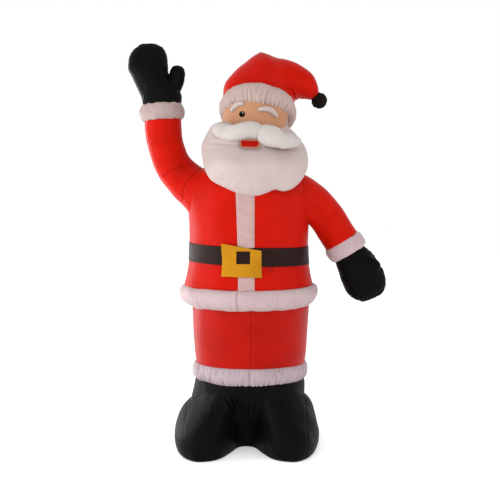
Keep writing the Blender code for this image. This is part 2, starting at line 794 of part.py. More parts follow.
def hat_rings():
    """The bent hat's rings from brim to tip, the middle of its last ring, and which way it points."""
    centre, across, ahead, up = head_frame()
    brim = centre + up * (BAND_RISE + HAT_RISE + GAP)
    depth_share = HEAD_HALF_DEPTH / HEAD_HALF_WIDTH * BRIM_DEPTH_SHARE
    wide = HAT_RADIUS * BRIM_WIDTH_SHARE
    rings = [ring(brim, across * wide, ahead * (HAT_RADIUS * depth_share), HAT_SIDES)]
    stations = 11
    keys = [Vector(key[:5]) for key in HAT_SECTIONS]
    turns = [key[5] for key in HAT_SECTIONS]
    for step in range(stations):
        share = step / (stations - 1)
        out, backwards, rise, half, deep = (value * HAT_RADIUS for value in spline(keys, share))
        turn = math.radians(spline(turns, share))
        middle = brim + OUT * out - FORWARD * backwards + UP * rise
        side = Vector((math.cos(turn), 0.0, -math.sin(turn)))
        fade = max(0.0, 1.0 - share * 2.2)
        tilted = (ahead * fade + FORWARD * (1.0 - fade)).normalized()
        rings.append(ring(middle, side * half, tilted * deep, HAT_SIDES))
    tip_turn = math.radians(turns[-1])
    tip_way = Vector((math.sin(tip_turn), 0.0, math.cos(tip_turn)))
    rings.append([middle + tip_way * (half * 0.4)])
    return rings, middle, tip_way


def ball(name, centre, radius, cloth=None):
    rings = [[centre - UP * radius]]
    for step in range(1, 7):
        turn = math.pi * step / 7
        level = centre - UP * (radius * math.cos(turn))
        half = radius * math.sin(turn)
        rings.append(ring(level, OUT * half, FORWARD * half, LIMB_SIDES))
    rings.append([centre + UP * radius])
    return skin(name, rings, cloth)


def hat(head_cutter, band_cutter):
    rings, end, tip_way = hat_rings()
    centre = end + tip_way * (POMPOM_RADIUS - POMPOM_SINK)
    ball("pompom", centre, POMPOM_RADIUS, ("black nylon", BLACK))
    around = ball("pompom cutter", centre, POMPOM_RADIUS + 2 * GAP)
    cut(skin("hat", rings, ("red nylon", RED)), band_cutter, around)
    cut(skin("hat_band", band_rings(), ("white nylon", WHITE), closed=True), head_cutter)


def beard_rings(grow=0.0):
    """The beard's rings: from inside the mouth's opening over the front to the sewn edge, then
    back to the middle behind. The head and coat cut away what is inside them."""
    centre = head_frame()[0]
    mouth = Vector((MOUTH_SHIFT, 0.0, -MOUTH_DROP))
    middle = Vector((BEARD_SHIFT - centre.x, 0.0, -BEARD_BELOW_HEAD))
    flat = closed_spline([Vector((x, 0.0, y)) for x, y in BEARD_OUTLINE], BEARD_SIDES)
    outline = [middle + point * (1.0 + grow / point.length) for point in flat]
    rim = []
    for point in outline:
        turn = math.atan2(point.z - mouth.z, point.x - mouth.x)
        across = (MOUTH_OPENING[0] - grow) * math.cos(turn)
        rim.append(mouth + Vector((across, 0.0, (MOUTH_OPENING[1] - grow) * math.sin(turn))))
    low_end = min(point.z for point in outline)

    def depth(point, share, front):
        low = ease((middle.z + 0.1 - point.z) / (middle.z + 0.1 - low_end))
        edge = BEARD_CHEEK_EDGE + (BEARD_CHIN_EDGE - BEARD_CHEEK_EDGE) * low
        swell = math.sqrt(max(0.0, 1.0 - share**BEARD_ROUNDNESS))
        if not front:
            return edge - (BEARD_BACK + grow) * swell
        full = ease((-point.z - BEARD_LIP_DROP) / (BEARD_FULL_DROP - BEARD_LIP_DROP))
        reach = BEARD_LIP + (BEARD_FRONT - BEARD_LIP) * full
        dip = max(0.0, reach - MOUTH_RIM) * math.exp(-((share / MOUTH_DIP_SHARE) ** 2))
        return edge + (reach + grow - edge) * swell - dip

    rings = [[centre + mouth + FORWARD * (MOUTH_RIM - 0.1)]]
    steps = [(share, True) for share in (0.0, 0.07, 0.15, 0.28, 0.48, 0.68, 0.84, 0.95)]
    steps += [(1.0, True), (0.85, False)]
    for share, front in steps:
        points = [low.lerp(high, share) for low, high in zip(rim, outline)]
        rings.append([centre + point + FORWARD * depth(point, share, front) for point in points])
    rings.append([centre + mouth + FORWARD * (BEARD_CHEEK_EDGE - BEARD_BACK)])
    return rings


def moustache_rings(stations, grow=0.0):
    """One half of the moustache, a flattened roll from the parting to its tip."""
    centre = head_frame()[0]
    points = [centre + OUT * across + UP * rise + FORWARD * ahead for across, rise, ahead, _ in stations]
    halves = [station[3] for station in stations]
    count = 10
    path = [spline(points, step / (count - 1)) for step in range(count)]
    sizes = [spline(halves, step / (count - 1)) for step in range(count)]
    thick = max(halves) * MOUSTACHE_THICKNESS_SHARE
    pairs = [(size + grow, thick * (size / max(halves)) ** 0.8 + grow) for size in sizes]
    start = path[0] + (path[0] - path[1]).normalized() * (halves[0] * 0.3 + grow)
    end = path[-1] + (path[-1] - path[-2]).normalized() * (halves[-1] * 0.5 + grow)
    return [[start], *tube_rings(path, pairs, MOUSTACHE_SIDES, end_pole=end)]


def moustache(beard_cutter, head_cutter):
    right = skin("moustache_right", moustache_rings(MOUSTACHE_RIGHT), ("white plush", PLUSH))
    cut(right, beard_cutter, head_cutter)
    parting = skin("moustache cutter", moustache_rings(MOUSTACHE_RIGHT, 2 * GAP))
    left = skin("moustache_left", moustache_rings(MOUSTACHE_LEFT), ("white plush", PLUSH))
    cut(left, beard_cutter, head_cutter, parting)


def eyebrow(name, stations, cutters):
    points = [on_face(across, rise, EYEBROW_RADIUS * 0.35) for across, rise in stations]
    count = 7
    path = [spline(points, step / (count - 1)) for step in range(count)]
    sizes = [EYEBROW_RADIUS * (0.55 + 0.45 * math.sin(math.pi * step / (count - 1))) for step in range(count)]
    start = path[0] + (path[0] - path[1]).normalized() * (EYEBROW_RADIUS * 0.5)
    end = path[-1] + (path[-1] - path[-2]).normalized() * (EYEBROW_RADIUS * 0.5)
    rings = [[start], *tube_rings(path, [(size, size) for size in sizes], SMALL_SIDES, end_pole=end)]
    cut(skin(name, rings, ("white plush", PLUSH)), *cutters)


def main():
    for old in list(bpy.data.objects):
        bpy.data.objects.remove(old)
    coat_cutter = skin("coat cutter", coat_rings(GAP))
    head_cutter = skin("head cutter", head_rings(GAP))
    beard_cutter = skin("beard cutter", beard_rings(GAP))
    band_cutter = skin("hat band cutter", band_rings(GAP), closed=True)
    sleeve_cutters = (
        skin("raised sleeve cutter", sleeve_rings(RAISED_SPINE, RAISED_RADII, -1, GAP)),
        skin("lowered sleeve cutter", sleeve_rings(LOWERED_SPINE, LOWERED_RADII, 1, GAP)),
    )
    boots()
    trousers()
    coat()
    belt()
    strips(coat_cutter, beard_cutter)
    buckle()
    arms(coat_cutter)
    head(coat_cutter)
    hat(head_cutter, band_cutter)
    beard = skin("beard", beard_rings(), ("white nylon", WHITE))
    cut(beard, coat_cutter, head_cutter, band_cutter, *sleeve_cutters)
    moustache(beard_cutter, head_cutter)
    eyebrow("eyebrow_left", EYEBROW_LEFT, (head_cutter, band_cutter))
    eyebrow("eyebrow_right", EYEBROW_RIGHT, (head_cutter, band_cutter))


main()
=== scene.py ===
"""Looks of the waving inflatable Santa figure: each sewn panel as full, gathered nylon.

Every cloth piece is a grid of rows that run round it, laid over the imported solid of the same
name, then given its seams, gathers and slow swells. Metres, +Z up, the figure faces -Y.
"""

import math

import bmesh
import bpy
import numpy as np
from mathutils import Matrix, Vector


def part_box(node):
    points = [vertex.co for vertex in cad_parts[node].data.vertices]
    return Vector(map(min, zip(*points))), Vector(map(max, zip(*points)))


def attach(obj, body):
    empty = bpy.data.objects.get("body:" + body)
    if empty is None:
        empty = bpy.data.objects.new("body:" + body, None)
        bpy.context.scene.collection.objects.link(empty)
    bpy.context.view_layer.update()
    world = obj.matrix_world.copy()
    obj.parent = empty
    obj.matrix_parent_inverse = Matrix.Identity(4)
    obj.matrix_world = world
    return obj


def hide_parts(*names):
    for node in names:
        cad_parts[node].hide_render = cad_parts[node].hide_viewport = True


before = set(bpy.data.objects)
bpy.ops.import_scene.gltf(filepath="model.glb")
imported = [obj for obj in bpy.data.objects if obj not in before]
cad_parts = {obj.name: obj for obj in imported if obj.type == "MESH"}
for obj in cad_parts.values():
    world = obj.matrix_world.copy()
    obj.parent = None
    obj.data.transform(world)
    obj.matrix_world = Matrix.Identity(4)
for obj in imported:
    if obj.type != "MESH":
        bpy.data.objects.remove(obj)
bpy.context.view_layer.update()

TAU = math.tau
OUT = np.array((1.0, 0.0, 0.0))
FORWARD = np.array((0.0, -1.0, 0.0))
UP = np.array((0.0, 0.0, 1.0))


def low(node):
    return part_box(node)[0][2]


def high(node):
    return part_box(node)[1][2]


def half_width(node):
    lowest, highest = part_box(node)
    return (highest[0] - lowest[0]) / 2


# The round body, from the frame
BODY_DEPTH = 0.97
TROUSER_RADIUS = half_width("trousers")
ANKLE_RADIUS = TROUSER_RADIUS - 0.026
HEM_RADIUS = half_width("coat")
CHEST_RADIUS = HEM_RADIUS - 0.031
BOOTS_TOP = high("boots")
TROUSERS_LOW, TROUSERS_TOP = low("trousers"), high("trousers")
COAT_LOW, COAT_TOP = low("coat"), high("coat")
COAT_HEIGHT = COAT_TOP - COAT_LOW
FLARE_SHARE = 0.32
DOME_SHARE = 0.55

# How far a padded ring's end rows lie inside the pieces it is sewn to
SEAM_INSET = 0.020

# Sewn trims: how far they stand out, and how the trouser trim sags at the sides
TROUSER_TRIM_BULGE = 0.025
TROUSER_TRIM_SAG = 0.036
TROUSER_TRIM_LIFT = 0.014
TROUSER_TRIM_RISE = 0.010
TROUSER_TRIM_SEAM = -0.003
COAT_TRIM_BULGE = 0.048
COAT_TRIM_SHIFT = -0.009
COAT_TRIM_RISE = 0.010
COAT_TRIM_DROP = 0.005
COAT_TRIM_SEAM = -0.065
TROUSER_SEAM = 0.007

# Boots
BOOT_SHIFT = -0.022
BOOT_SHOULDER = 0.258
BOOT_FRONT_SHOULDER = 0.385
BOOT_SHOULDER_TILT = 0.018
BOOT_WIDEST = 0.075
SHAFT_FLARE = 0.012
BOOT_FILL = 0.004
SOLE_INSET = 0.028
TOE_REACH = 0.474
BOOT_HALF_WIDTH = 0.425
SOLE_OUTLINE = (
    (0.06, 0.43), (0.15, 0.50), (0.26, 0.72), (0.39, 0.91), (0.56, 0.99), (0.72, 0.98),
    (0.88, 0.81), (0.98, 0.48), (1.00, 0.14), (0.94, -0.20), (0.72, -0.52), (0.38, -0.69),
)

# Boots' folds in the valley between the toes, from (x, BOOT_VALLEY_TOP) down to near its foot, then
# two more creases as (start, end, width, depth), and upright seams as (x, bottom, top)
BOOT_VALLEY = (-0.150, -0.118, -0.086, -0.052, 0.010, 0.050)
BOOT_VALLEY_TOP = 0.352
BOOT_VALLEY_FOOT = (-0.034, 0.13)
BOOT_CREASES = (((-0.16, 0.365), (0.10, 0.36), 0.006, 0.003), ((0.189, 0.30), (0.172, 0.262), 0.008, 0.005))
BOOT_SEAMS = ((-0.375, 0.10, 0.31), (-0.207, 0.05, 0.31), (0.325, 0.09, 0.30))

# Belt, buckle and strips
BELT_WIDTH = 0.106
BELT_MIDDLE = COAT_LOW + 0.184
BELT_SLOPE = -math.tan(math.radians(1.7))
BELT_LIFT = 0.003
STRIP_WIDTH = 0.093
STRIP_OFFSET = -0.021
STRIP_TOP_EXTRA = 0.014
STRIP_LIFT = 0.0025
DOT = (0.116, 1.071)
DOT_RADIUS = 0.0165
BUCKLE_WIDTH = 0.215
BUCKLE_HEIGHT = 0.1685
BUCKLE_OFFSET = -0.045
BUCKLE_DROP = -0.0288
BUCKLE_TOP_SLOPE = -0.184
BUCKLE_BOTTOM_SLOPE = -0.025
BUCKLE_THICKNESS = 0.0016
BUCKLE_STAND_OFF = 0.006
BUCKLE_WAVE = 0.003
BUCKLE_TOP_CURL = 0.014
BUCKLE_LOW_CURL = 0.006
BUCKLE_HEM = 0.011
# How far down from the buckle's top the painted shaded line under its hem lies
BUCKLE_HEM_SHADE_LINE = 0.014
WINDOW = (0.075, 0.071, 0.008, 0.0258)

# Sleeves, as (outwards, upwards) from the top of the coat, and their radii
SLEEVE_DEPTH = 0.02
RAISED_SPINE = (
    (0.150, -0.270), (0.245, -0.235), (0.336, -0.174), (0.406, -0.112), (0.4585, -0.042),
    (0.489, 0.028), (0.512, 0.115), (0.520, 0.223),
)
RAISED_RADII = (0.145, 0.138, 0.121, 0.112, 0.106, 0.105, 0.105, 0.107)
LOWERED_SPINE = (
    (0.120, -0.230), (0.205, -0.213), (0.288, -0.216), (0.357, -0.249), (0.416, -0.300),
    (0.465, -0.363), (0.510, -0.430), (0.550, -0.493),
)
LOWERED_RADII = (0.120, 0.120, 0.118, 0.111, 0.105, 0.102, 0.102, 0.104)
RAISED_CUFF_LENGTH = 0.096
LOWERED_CUFF_LENGTH = 0.088
CUFF_RADIUS = 0.135
LOWERED_CUFF_RADIUS = 0.124
CUFF_DEPTH = 0.92
ARM_STEP = 0.0048
ARM_RADIUS = 0.108

# Seams round a sleeve, as (share of its length, tilt)
RING_SEAMS = {"raised": ((0.82, -0.18),), "lowered": ()}

# Mittens: (reach from the wrist, shift to the thumb's side, half width, half depth), then the
# thumb's spine as (reach, shift, forwards)
RAISED_PALM = (
    (0.000, 0.004, 0.109, 0.098), (0.060, 0.001, 0.116, 0.096), (0.120, -0.030, 0.108, 0.092),
    (0.175, -0.053, 0.106, 0.090), (0.216, -0.063, 0.115, 0.088), (0.255, -0.062, 0.112, 0.080),
    (0.292, -0.059, 0.105, 0.066), (0.325, -0.054, 0.086, 0.048), (0.345, -0.052, 0.054, 0.028),
)
RAISED_TIP = 0.356
RAISED_THUMB = ((0.020, 0.044, 0.0), (0.095, 0.080, 0.0), (0.162, 0.104, 0.0), (0.218, 0.107, 0.0))
RAISED_THUMB_RADIUS = 0.044
LOWERED_PALM = (
    (0.000, 0.000, 0.094, 0.088), (0.048, 0.010, 0.108, 0.092), (0.102, 0.014, 0.118, 0.092),
    (0.166, 0.014, 0.126, 0.088), (0.221, 0.014, 0.119, 0.078), (0.262, 0.016, 0.105, 0.062),
    (0.294, 0.019, 0.076, 0.042),
)
LOWERED_TIP = 0.309
THUMB_NOTCH = (0.786, 1.059)
LOWERED_THUMB = (
    (0.020, 0.020, 0.030), (0.066, 0.052, 0.050), (0.114, 0.086, 0.056), (0.163, 0.109, 0.056),
)
LOWERED_THUMB_RADIUS = 0.041
LOWERED_HAND_TURN = math.radians(7.0)
MITTEN_FILL = 0.004

# Head: its middle, half sizes and lean
HEAD = np.array((0.038, -0.030, COAT_TOP + 0.208))
HEAD_SIZES = np.array((0.203, 0.262, 0.300))
LEAN_BACK = math.radians(20.0)
LEAN_SIDE = math.radians(7.5)
HAIR_SPLIT = 0.08
HAIR_SPLIT_TURN = math.radians(17.0)
BAND_RISE = 0.075
BAND_RADIUS = 0.188
BAND_HALF_THICKNESS = 0.041
BAND_HALF_HEIGHT = 0.061
BAND_DEPTH_SHARE = 0.97
BAND_GATHER_RADIUS = 0.235
BAND_TUBE_RADIUS = 0.052
BAND_RIB_SPACING = 0.028
BAND_RIB_DEPTH = 0.0034

# Hat sections as shares of its radius: (outwards, backwards, upwards, half width, half depth)
# and its turn in degrees
HAT_RADIUS = 0.210
HAT_RISE = 0.028
HAT_PEAK = 0.013
HAT_SECTIONS = (
    (0.00, 0.00, 0.18, 0.985, 1.06, 7), (0.07, 0.06, 0.41, 0.990, 1.03, 15),
    (0.25, 0.14, 0.67, 0.920, 0.94, 30), (0.54, 0.19, 0.88, 0.820, 0.80, 51),
    (0.84, 0.16, 0.82, 0.645, 0.66, 67), (1.13, 0.11, 0.74, 0.505, 0.54, 86),
    (1.36, 0.06, 0.57, 0.375, 0.40, 102), (1.54, 0.02, 0.40, 0.225, 0.25, 116),
    (1.61, 0.00, 0.30, 0.125, 0.13, 133),
)
POMPOM_RADIUS = 0.046

# Soft bumps of the hat, as (x, z, reach, lift, direction they face)
HAT_BUMPS = (
    (-0.150, 2.140, 0.070, 0.014, (-1.0, 0.0, 0.0)),
    (0.360, 2.190, 0.075, 0.014, (1.0, 0.0, 0.5)),
    (-0.040, 2.290, 0.045, -0.006, (0.0, 0.0, 1.0)),
    (0.155, 2.310, 0.045, -0.005, (0.0, 0.0, 1.0)),
    (0.326, 2.062, 0.040, -0.009, (0.0, 0.0, -1.0)),
)

# Beard, from the head's middle
BEARD_SHIFT = 0.026
BEARD_DROP = 0.205
BEARD_FRONT = 0.385
BEARD_LIP = 0.283
BEARD_FULL_DROP = 0.270
BEARD_LIP_DROP = 0.120
BEARD_CHEEK_EDGE = 0.095
BEARD_CHIN_EDGE = 0.290
BEARD_BACK = 0.090
BEARD_ROUNDNESS = 2.6
BEARD_OUTLINE = (
    (-0.150, 0.210), (-0.238, 0.189), (-0.285, 0.122), (-0.308, 0.058), (-0.298, -0.024),
    (-0.279, -0.088), (-0.240, -0.141), (-0.166, -0.180), (-0.100, -0.209), (-0.034, -0.228),
    (0.022, -0.226), (0.076, -0.205), (0.114, -0.191), (0.165, -0.199), (0.218, -0.181),
    (0.268, -0.134), (0.302, -0.068), (0.309, 0.000), (0.294, 0.060), (0.260, 0.108),
    (0.215, 0.158), (0.145, 0.200), (0.000, 0.225),
)
MOUTH_OPENING = (0.0570, 0.0215)
MOUTH = np.array((-0.036, 0.0, -0.137))
MOUTH_RIM = 0.267
MOUTH_DIP_SHARE = 0.06

# Creases of the beard from the head's middle, as (start, end, depth)
BEARD_CREASES = (((-0.27, -0.128), (-0.09, -0.148), 0.0030), ((-0.25, -0.160), (-0.11, -0.158), 0.0012))

# Moustache halves from the parting to the tip: (across, up, forward, half height)
MOUSTACHE_LEFT = (
    (0.012, -0.070, 0.312, 0.038), (-0.003, -0.067, 0.316, 0.043), (-0.038, -0.061, 0.321, 0.046),
    (-0.078, -0.066, 0.318, 0.046), (-0.118, -0.077, 0.306, 0.046), (-0.158, -0.076, 0.284, 0.047),
    (-0.194, -0.062, 0.254, 0.046), (-0.221, -0.051, 0.226, 0.038), (-0.234, -0.044, 0.212, 0.024),
)
MOUSTACHE_RIGHT = (
    (0.022, -0.084, 0.312, 0.048), (0.038, -0.087, 0.318, 0.055), (0.060, -0.092, 0.324, 0.058),
    (0.092, -0.103, 0.330, 0.059), (0.128, -0.117, 0.328, 0.051), (0.162, -0.124, 0.316, 0.045),
    (0.196, -0.124, 0.294, 0.039), (0.224, -0.122, 0.268, 0.030), (0.238, -0.123, 0.256, 0.020),
)
MOUSTACHE_THICKNESS_SHARE = 0.76
MOUSTACHE_SET_BACK = 0.014
EYEBROW_RADIUS = 0.016
EYEBROW_LEFT = ((-0.142, 0.046), (-0.135, 0.066), (-0.116, 0.082), (-0.094, 0.092), (-0.074, 0.088))
EYEBROW_RIGHT = (
    (0.004, 0.052), (0.030, 0.057), (0.060, 0.057), (0.084, 0.049), (0.104, 0.031), (0.117, 0.010),
)
EYE = (-0.084, 0.030)
EYE_RADIUS = 0.0165
MOUTH_CORNERS = ((-0.089, -0.121), (0.010, -0.124), (0.001, -0.155), (-0.083, -0.152))

# How the coat and the sleeves melt together at the armholes, and the seams seen from the front
ARMHOLE_BLEND = 0.105
COAT_LEFT_FILL = 0.010
COAT_RIGHT_DRAW = 0.004
TROUSER_RIGHT_FILL = 0.007
SLEEVE_SEAM = (
    (-0.289, 1.641), (-0.330, 1.610), (-0.362, 1.572), (-0.382, 1.530), (-0.391, 1.491),
    (-0.391, 1.459),
)
FRONT_SEAM_WIDTH = 0.007
ARM_SEAMS = (
    (0.0030, SLEEVE_SEAM),
    (0.0014, ((0.378, 1.439), (0.410, 1.407), (0.453, 1.357), (0.482, 1.299))),
    (0.0011, ((0.462, 1.362), (0.503, 1.394))),
    (0.0032, ((-0.505, 1.604), (-0.445, 1.640), (-0.390, 1.664))),
)

# Puckers along each seam, as (spacing, reach, depth, slant)
PUCKERS = {
    "upright seam": (0.022, 0.030, 0.0007, 0.30),
    "trousers low": (0.034, 0.035, 0.0013, 0.25),
    "trousers top": (0.034, 0.045, 0.0013, 0.25),
    "coat hem": (0.034, 0.055, 0.0013, 0.25),
    "coat at belt": (0.050, 0.045, 0.0013, 0.25),
    "coat at strip": (0.024, 0.030, 0.0008, 0.25),
    "coat at sleeve": (0.030, 0.055, 0.0016, 0.25),
    "belt": (0.045, 0.035, 0.0012, 0.60),
    "strip": (0.020, 0.055, 0.0026, 0.25),
    "sleeve ring": (0.026, 0.045, 0.0012, 0.25),
    "sleeve end": (0.026, 0.050, 0.0018, 0.25),
    "sleeve at coat": (0.028, 0.060, 0.0016, 0.25),
    "sleeve bend": (0.035, 0.085, 0.0020, 0.20),
    "sleeve seam": (0.022, 0.028, 0.0008, 0.25),
    "cuff": (0.020, 0.040, 0.0018, 0.25),
    "mitten short": (0.024, 0.045, 0.0026, 0.30),
    "mitten long": (0.060, 0.080, 0.0014, 0.50),
    "mitten wrist": (0.024, 0.050, 0.0028, 0.25),
    "boot ankle": (0.036, 0.050, 0.0009, 0.25),
    "boot seam": (0.020, 0.026, 0.0018, 0.30),
    "boot sole": (0.040, 0.060, 0.0014, 0.25),
    "hair": (0.030, 0.070, 0.0022, 0.25),
    "band low": (0.019, 0.095, 0.0052, 0.10),
    "band high": (0.018, 0.050, 0.0036, 0.15),
    "band long": (0.045, 0.130, 0.0034, 0.15),
    "hat brim": (0.030, 0.050, 0.0016, 0.25),
    "hat tip": (0.026, 0.090, 0.0016, 0.10),
    "hat bend": (0.045, 0.130, 0.0030, 0.25),
    "beard short": (0.014, 0.044, 0.0044, 0.12),
    "beard long": (0.075, 0.100, 0.0014, 0.30),
    "beard mouth": (0.016, 0.030, 0.0010, 0.10),
    "moustache": (0.022, 0.022, 0.0016, 0.25),
}

# Lights as (name, place, width, height, power), what they point at, and the camera
LIGHTS = (
    ("front softbox", (-1.5, -4.3, 3.0), 2.4, 2.4, 44.0),
    ("low fill", (0.3, -5.6, 1.0), 3.0, 1.6, 16.0),
    ("left strip", (-3.6, -0.9, 1.3), 0.5, 2.6, 66.0),
    ("rim strip", (-2.5, 1.8, 1.3), 0.5, 2.6, 44.0),
    ("right fill", (3.4, -2.6, 1.8), 1.2, 1.8, 22.0),
)
LIT_POINT = (0.0, 0.0, 1.2)
FLOOR_REACH = 14.0
CAMERA_PLACE = (0.0, -4.83, 1.52)
CAMERA_LENS = 57.6
CAMERA_SENSOR = 36.0
CAMERA_FALL = 0.075

# Points round each piece
BODY_COLUMNS = 360
TRIM_COLUMNS = 520
LIMB_COLUMNS = 148
CUFF_COLUMNS = 260
HAT_COLUMNS = 212
BEARD_COLUMNS = 352
MOUSTACHE_COLUMNS = 110


def hermite(a, b, c, d, t):
    """The smooth curve from b to c with neighbours a and d, at share t."""
    slope_b = (c - a) / 2
    slope_c = (d - b) / 2
    return (
        b * (2 * t**3 - 3 * t**2 + 1)
        + slope_b * (t**3 - 2 * t**2 + t)
        + c * (3 * t**2 - 2 * t**3)
        + slope_c * (t**3 - t**2)
    )


def curve(keys, at):
    """Points at the shares in at (0 to 1) of a smooth curve through evenly spaced keys."""
    keys = np.asarray(keys, float)
    flat = keys.ndim == 1
    keys = keys[:, None] if flat else keys
    last = len(keys) - 1
    place = np.clip(at, 0.0, 1.0) * last
    i = np.minimum(place.astype(int), last - 1)
    window = [keys[np.clip(i + k, 0, last)] for k in (-1, 0, 1, 2)]
    found = hermite(*window, (place - i)[:, None])
    return found[:, 0] if flat else found


def loop_curve(points, count):
    """count points along the smooth closed curve through points."""
    points = np.asarray(points, float)
    total = len(points)
    place = np.arange(count) * total / count
    i = place.astype(int)
    window = [points[(i + k) % total] for k in (-1, 0, 1, 2)]
    return hermite(*window, (place - i)[:, None])


def evenly(points, step):
    """The same line with its points about step apart."""
    points = np.asarray(points, float)
    lengths = np.linalg.norm(np.diff(points, axis=0), axis=1)
    total = np.concatenate([[0.0], np.cumsum(lengths)])
    at = np.linspace(0.0, total[-1], max(3, int(total[-1] / step) + 1))
    return np.stack([np.interp(at, total, points[:, k]) for k in range(points.shape[1])], axis=1)


def ease(share):
    held = np.clip(share, 0.0, 1.0)
    return held * held * (3.0 - 2.0 * held)


def positive(values):
    return np.maximum(0.0, values)


def bell(share):
    """1 in the middle, falling away smoothly to both sides."""
    return np.exp(-(share**2))


def unit(vectors):
    return vectors / np.maximum(np.linalg.norm(vectors, axis=-1, keepdims=True), 1e-12)


def smoothed(values, gap, times):
    """Values round a loop, each evened out with those gap places away."""
    for _ in range(times):
        values = (np.roll(values, gap, axis=0) + 2 * values + np.roll(values, -gap, axis=0)) / 4
    return values


def turns_round(columns):
    return np.linspace(0.0, TAU, columns, endpoint=False)


def centred(turn):
    """The same turn, from half a turn back to half a turn on."""
    return (turn + math.pi) % TAU - math.pi


def spread(values, columns):
    """One value a row, the same at each of its columns."""
    return np.repeat(np.asarray(values)[:, None], columns, axis=1)


def rings(centres, across, along, columns):
    """Rows of points round ellipses with those middles and half axes."""
    turns = turns_round(columns)[None, :, None]
    return centres[:, None] + across[:, None] * np.cos(turns) + along[:, None] * np.sin(turns)


def cap(middle, reach, wide, deep, shares, columns):
    """Rows that close the end of a tube in a dome, reach past its middle."""
    shares = np.array(shares)[:, None]
    sizes = np.sqrt(1.0 - shares**2)
    return rings(middle + reach * shares, wide * sizes, deep * sizes, columns)


def length_along(grid):
    """How far along the piece each row lies, at each of its columns."""
    steps = np.linalg.norm(np.diff(grid.mean(axis=1), axis=0), axis=1)
    return spread(np.concatenate([[0.0], np.cumsum(steps)]), grid.shape[1])


def row_radius(grid):
    middles = grid.mean(axis=1, keepdims=True)
    return np.linalg.norm(grid - middles, axis=2).mean(axis=1)[:, None]


def padded_rows(count):
    """Shares along a padded ring, how full it is there, and how far inside its end rows lie."""
    share = (1.0 - np.cos(np.linspace(0.0, math.pi, count))) / 2
    swell = np.sqrt(positive(np.sin(math.pi * share)))
    inset = np.zeros(count + 2)
    inset[[0, -1]] = SEAM_INSET
    return np.pad(share, 1, mode="edge"), np.pad(swell, 1), inset


def outward(grid, closed=False):
    """Unit normals of a grid, pointing out of the piece, and the sign that its faces need."""
    round_step = np.roll(grid, -1, axis=1) - np.roll(grid, 1, axis=1)
    if closed:
        row_step = np.roll(grid, -1, axis=0) - np.roll(grid, 1, axis=0)
    else:
        row_step = np.gradient(grid, axis=0)
    normal = np.cross(row_step, round_step)
    from_middle = grid - grid.reshape(-1, 3).mean(axis=0)
    sign = 1.0 if (normal * from_middle).sum() > 0 else -1.0
    return unit(normal * sign), sign


def push(grid, field, closed=False):
    """The grid moved out along its normals by field, in metres."""
    return grid + outward(grid, closed)[0] * field[..., None]


def swells(points, size, seed, waves=20):
    """Slow random bumps about size across, mostly from -1 to 1."""
    chance = np.random.default_rng(seed)
    ways = unit(chance.normal(size=(waves, 3)))
    total = np.zeros(points.shape[:-1])
    for way in ways:
        length = size * chance.uniform(0.7, 1.7)
        total += np.sin(points @ way * (TAU / length) + chance.uniform(0.0, TAU))
    return total / math.sqrt(waves)


def gathers(along, away, span, seed, style):
    """Puckers that start at a seam: along it and away from it in metres, with its whole span."""
    spacing, reach, depth, slant = style
    chance = np.random.default_rng(seed)
    count = max(3, int(span / spacing))
    field = np.zeros(np.broadcast(along, away).shape)
    for step in range(count):
        place = (step + chance.uniform(-0.45, 0.45)) * span / count
        length = reach * chance.uniform(0.35, 1.3)
        width = spacing * chance.uniform(0.18, 0.42)
        offset = along - place - chance.normal(0.0, slant) * away - chance.normal(0.0, 2.0) * away**2
        offset = (offset + span / 2) % span - span / 2
        x = offset / (width * (0.6 + 0.8 * away / reach))
        fade = bell(away / length)
        field += depth * chance.uniform(0.3, 1.0) * (2.0 * x * x - 1.0) * np.exp(-x * x) * fade
    return field


def both_sides(offset, along, span, seed, style, seed_step=1):
    """Puckers on both sides of a seam, with offset the distance from it."""
    field = 0.0
    for side in (-1, 1):
        away = positive(side * offset)
        field = field + gathers(along, away, span, seed + seed_step * side, style) * (side * offset > 0)
    return field


def groove(distance, width, depth):
    return -depth * bell(distance / width)


def from_line(points, start, end):
    """Distance of points from a line seen from the front, and their share along it."""
    way = np.array(end) - np.array(start)
    offset = points[..., [0, 2]] - np.array(start)
    share = np.clip((offset @ way) / (way @ way), 0.0, 1.0)
    return np.linalg.norm(offset - share[..., None] * way, axis=-1), share


def crease(points, start, end, width, depth):
    """A fold that is seen from the front, along the line from start to end, each (x, z)."""
    distance, share = from_line(points, start, end)
    x = distance / (width * (0.6 + 0.6 * np.sin(math.pi * share)))
    fade = np.where(points[..., 1] < 0, 1.0, 0.0) * (0.25 + 0.75 * np.sin(math.pi * share))
    return depth * (2.0 * x * x - 1.0) * np.exp(-x * x) * fade


def arm_seams(points):
    """The faint seams at the arms that are seen from the front."""
    field = 0.0
    for depth, line in ARM_SEAMS:
        nearest = np.full(points.shape[:-1], np.inf)
        for start, end in zip(line, line[1:]):
            nearest = np.minimum(nearest, from_line(points, start, end)[0])
        field = field + groove(nearest, FRONT_SEAM_WIDTH, depth) * (points[..., 1] < 0)
    return field


def place_object(name, data):
    made = bpy.data.objects.new(name, data)
    bpy.context.scene.collection.objects.link(made)
    return made


def set_inputs(node, values):
    for name, value in values.items():
        node.inputs[name].default_value = value


def add(tree, kind, values=None, **settings):
    """A shader node, with its settings and its inputs linked or set."""
    node = tree.nodes.new(kind)
    for name, value in settings.items():
        setattr(node, name, value)
    for name, value in (values or {}).items():
        if isinstance(value, bpy.types.NodeSocket):
            tree.links.new(value, node.inputs[name])
        else:
            node.inputs[name].default_value = value
    return node


# Wave textures repeat every 0.314 of a unit at scale 1
WAVE_PERIOD = TAU / 20

# How much of each of red, green and blue the painted shade in a fold keeps
FOLD_SHADE = (0.66, 0.56, 0.55)


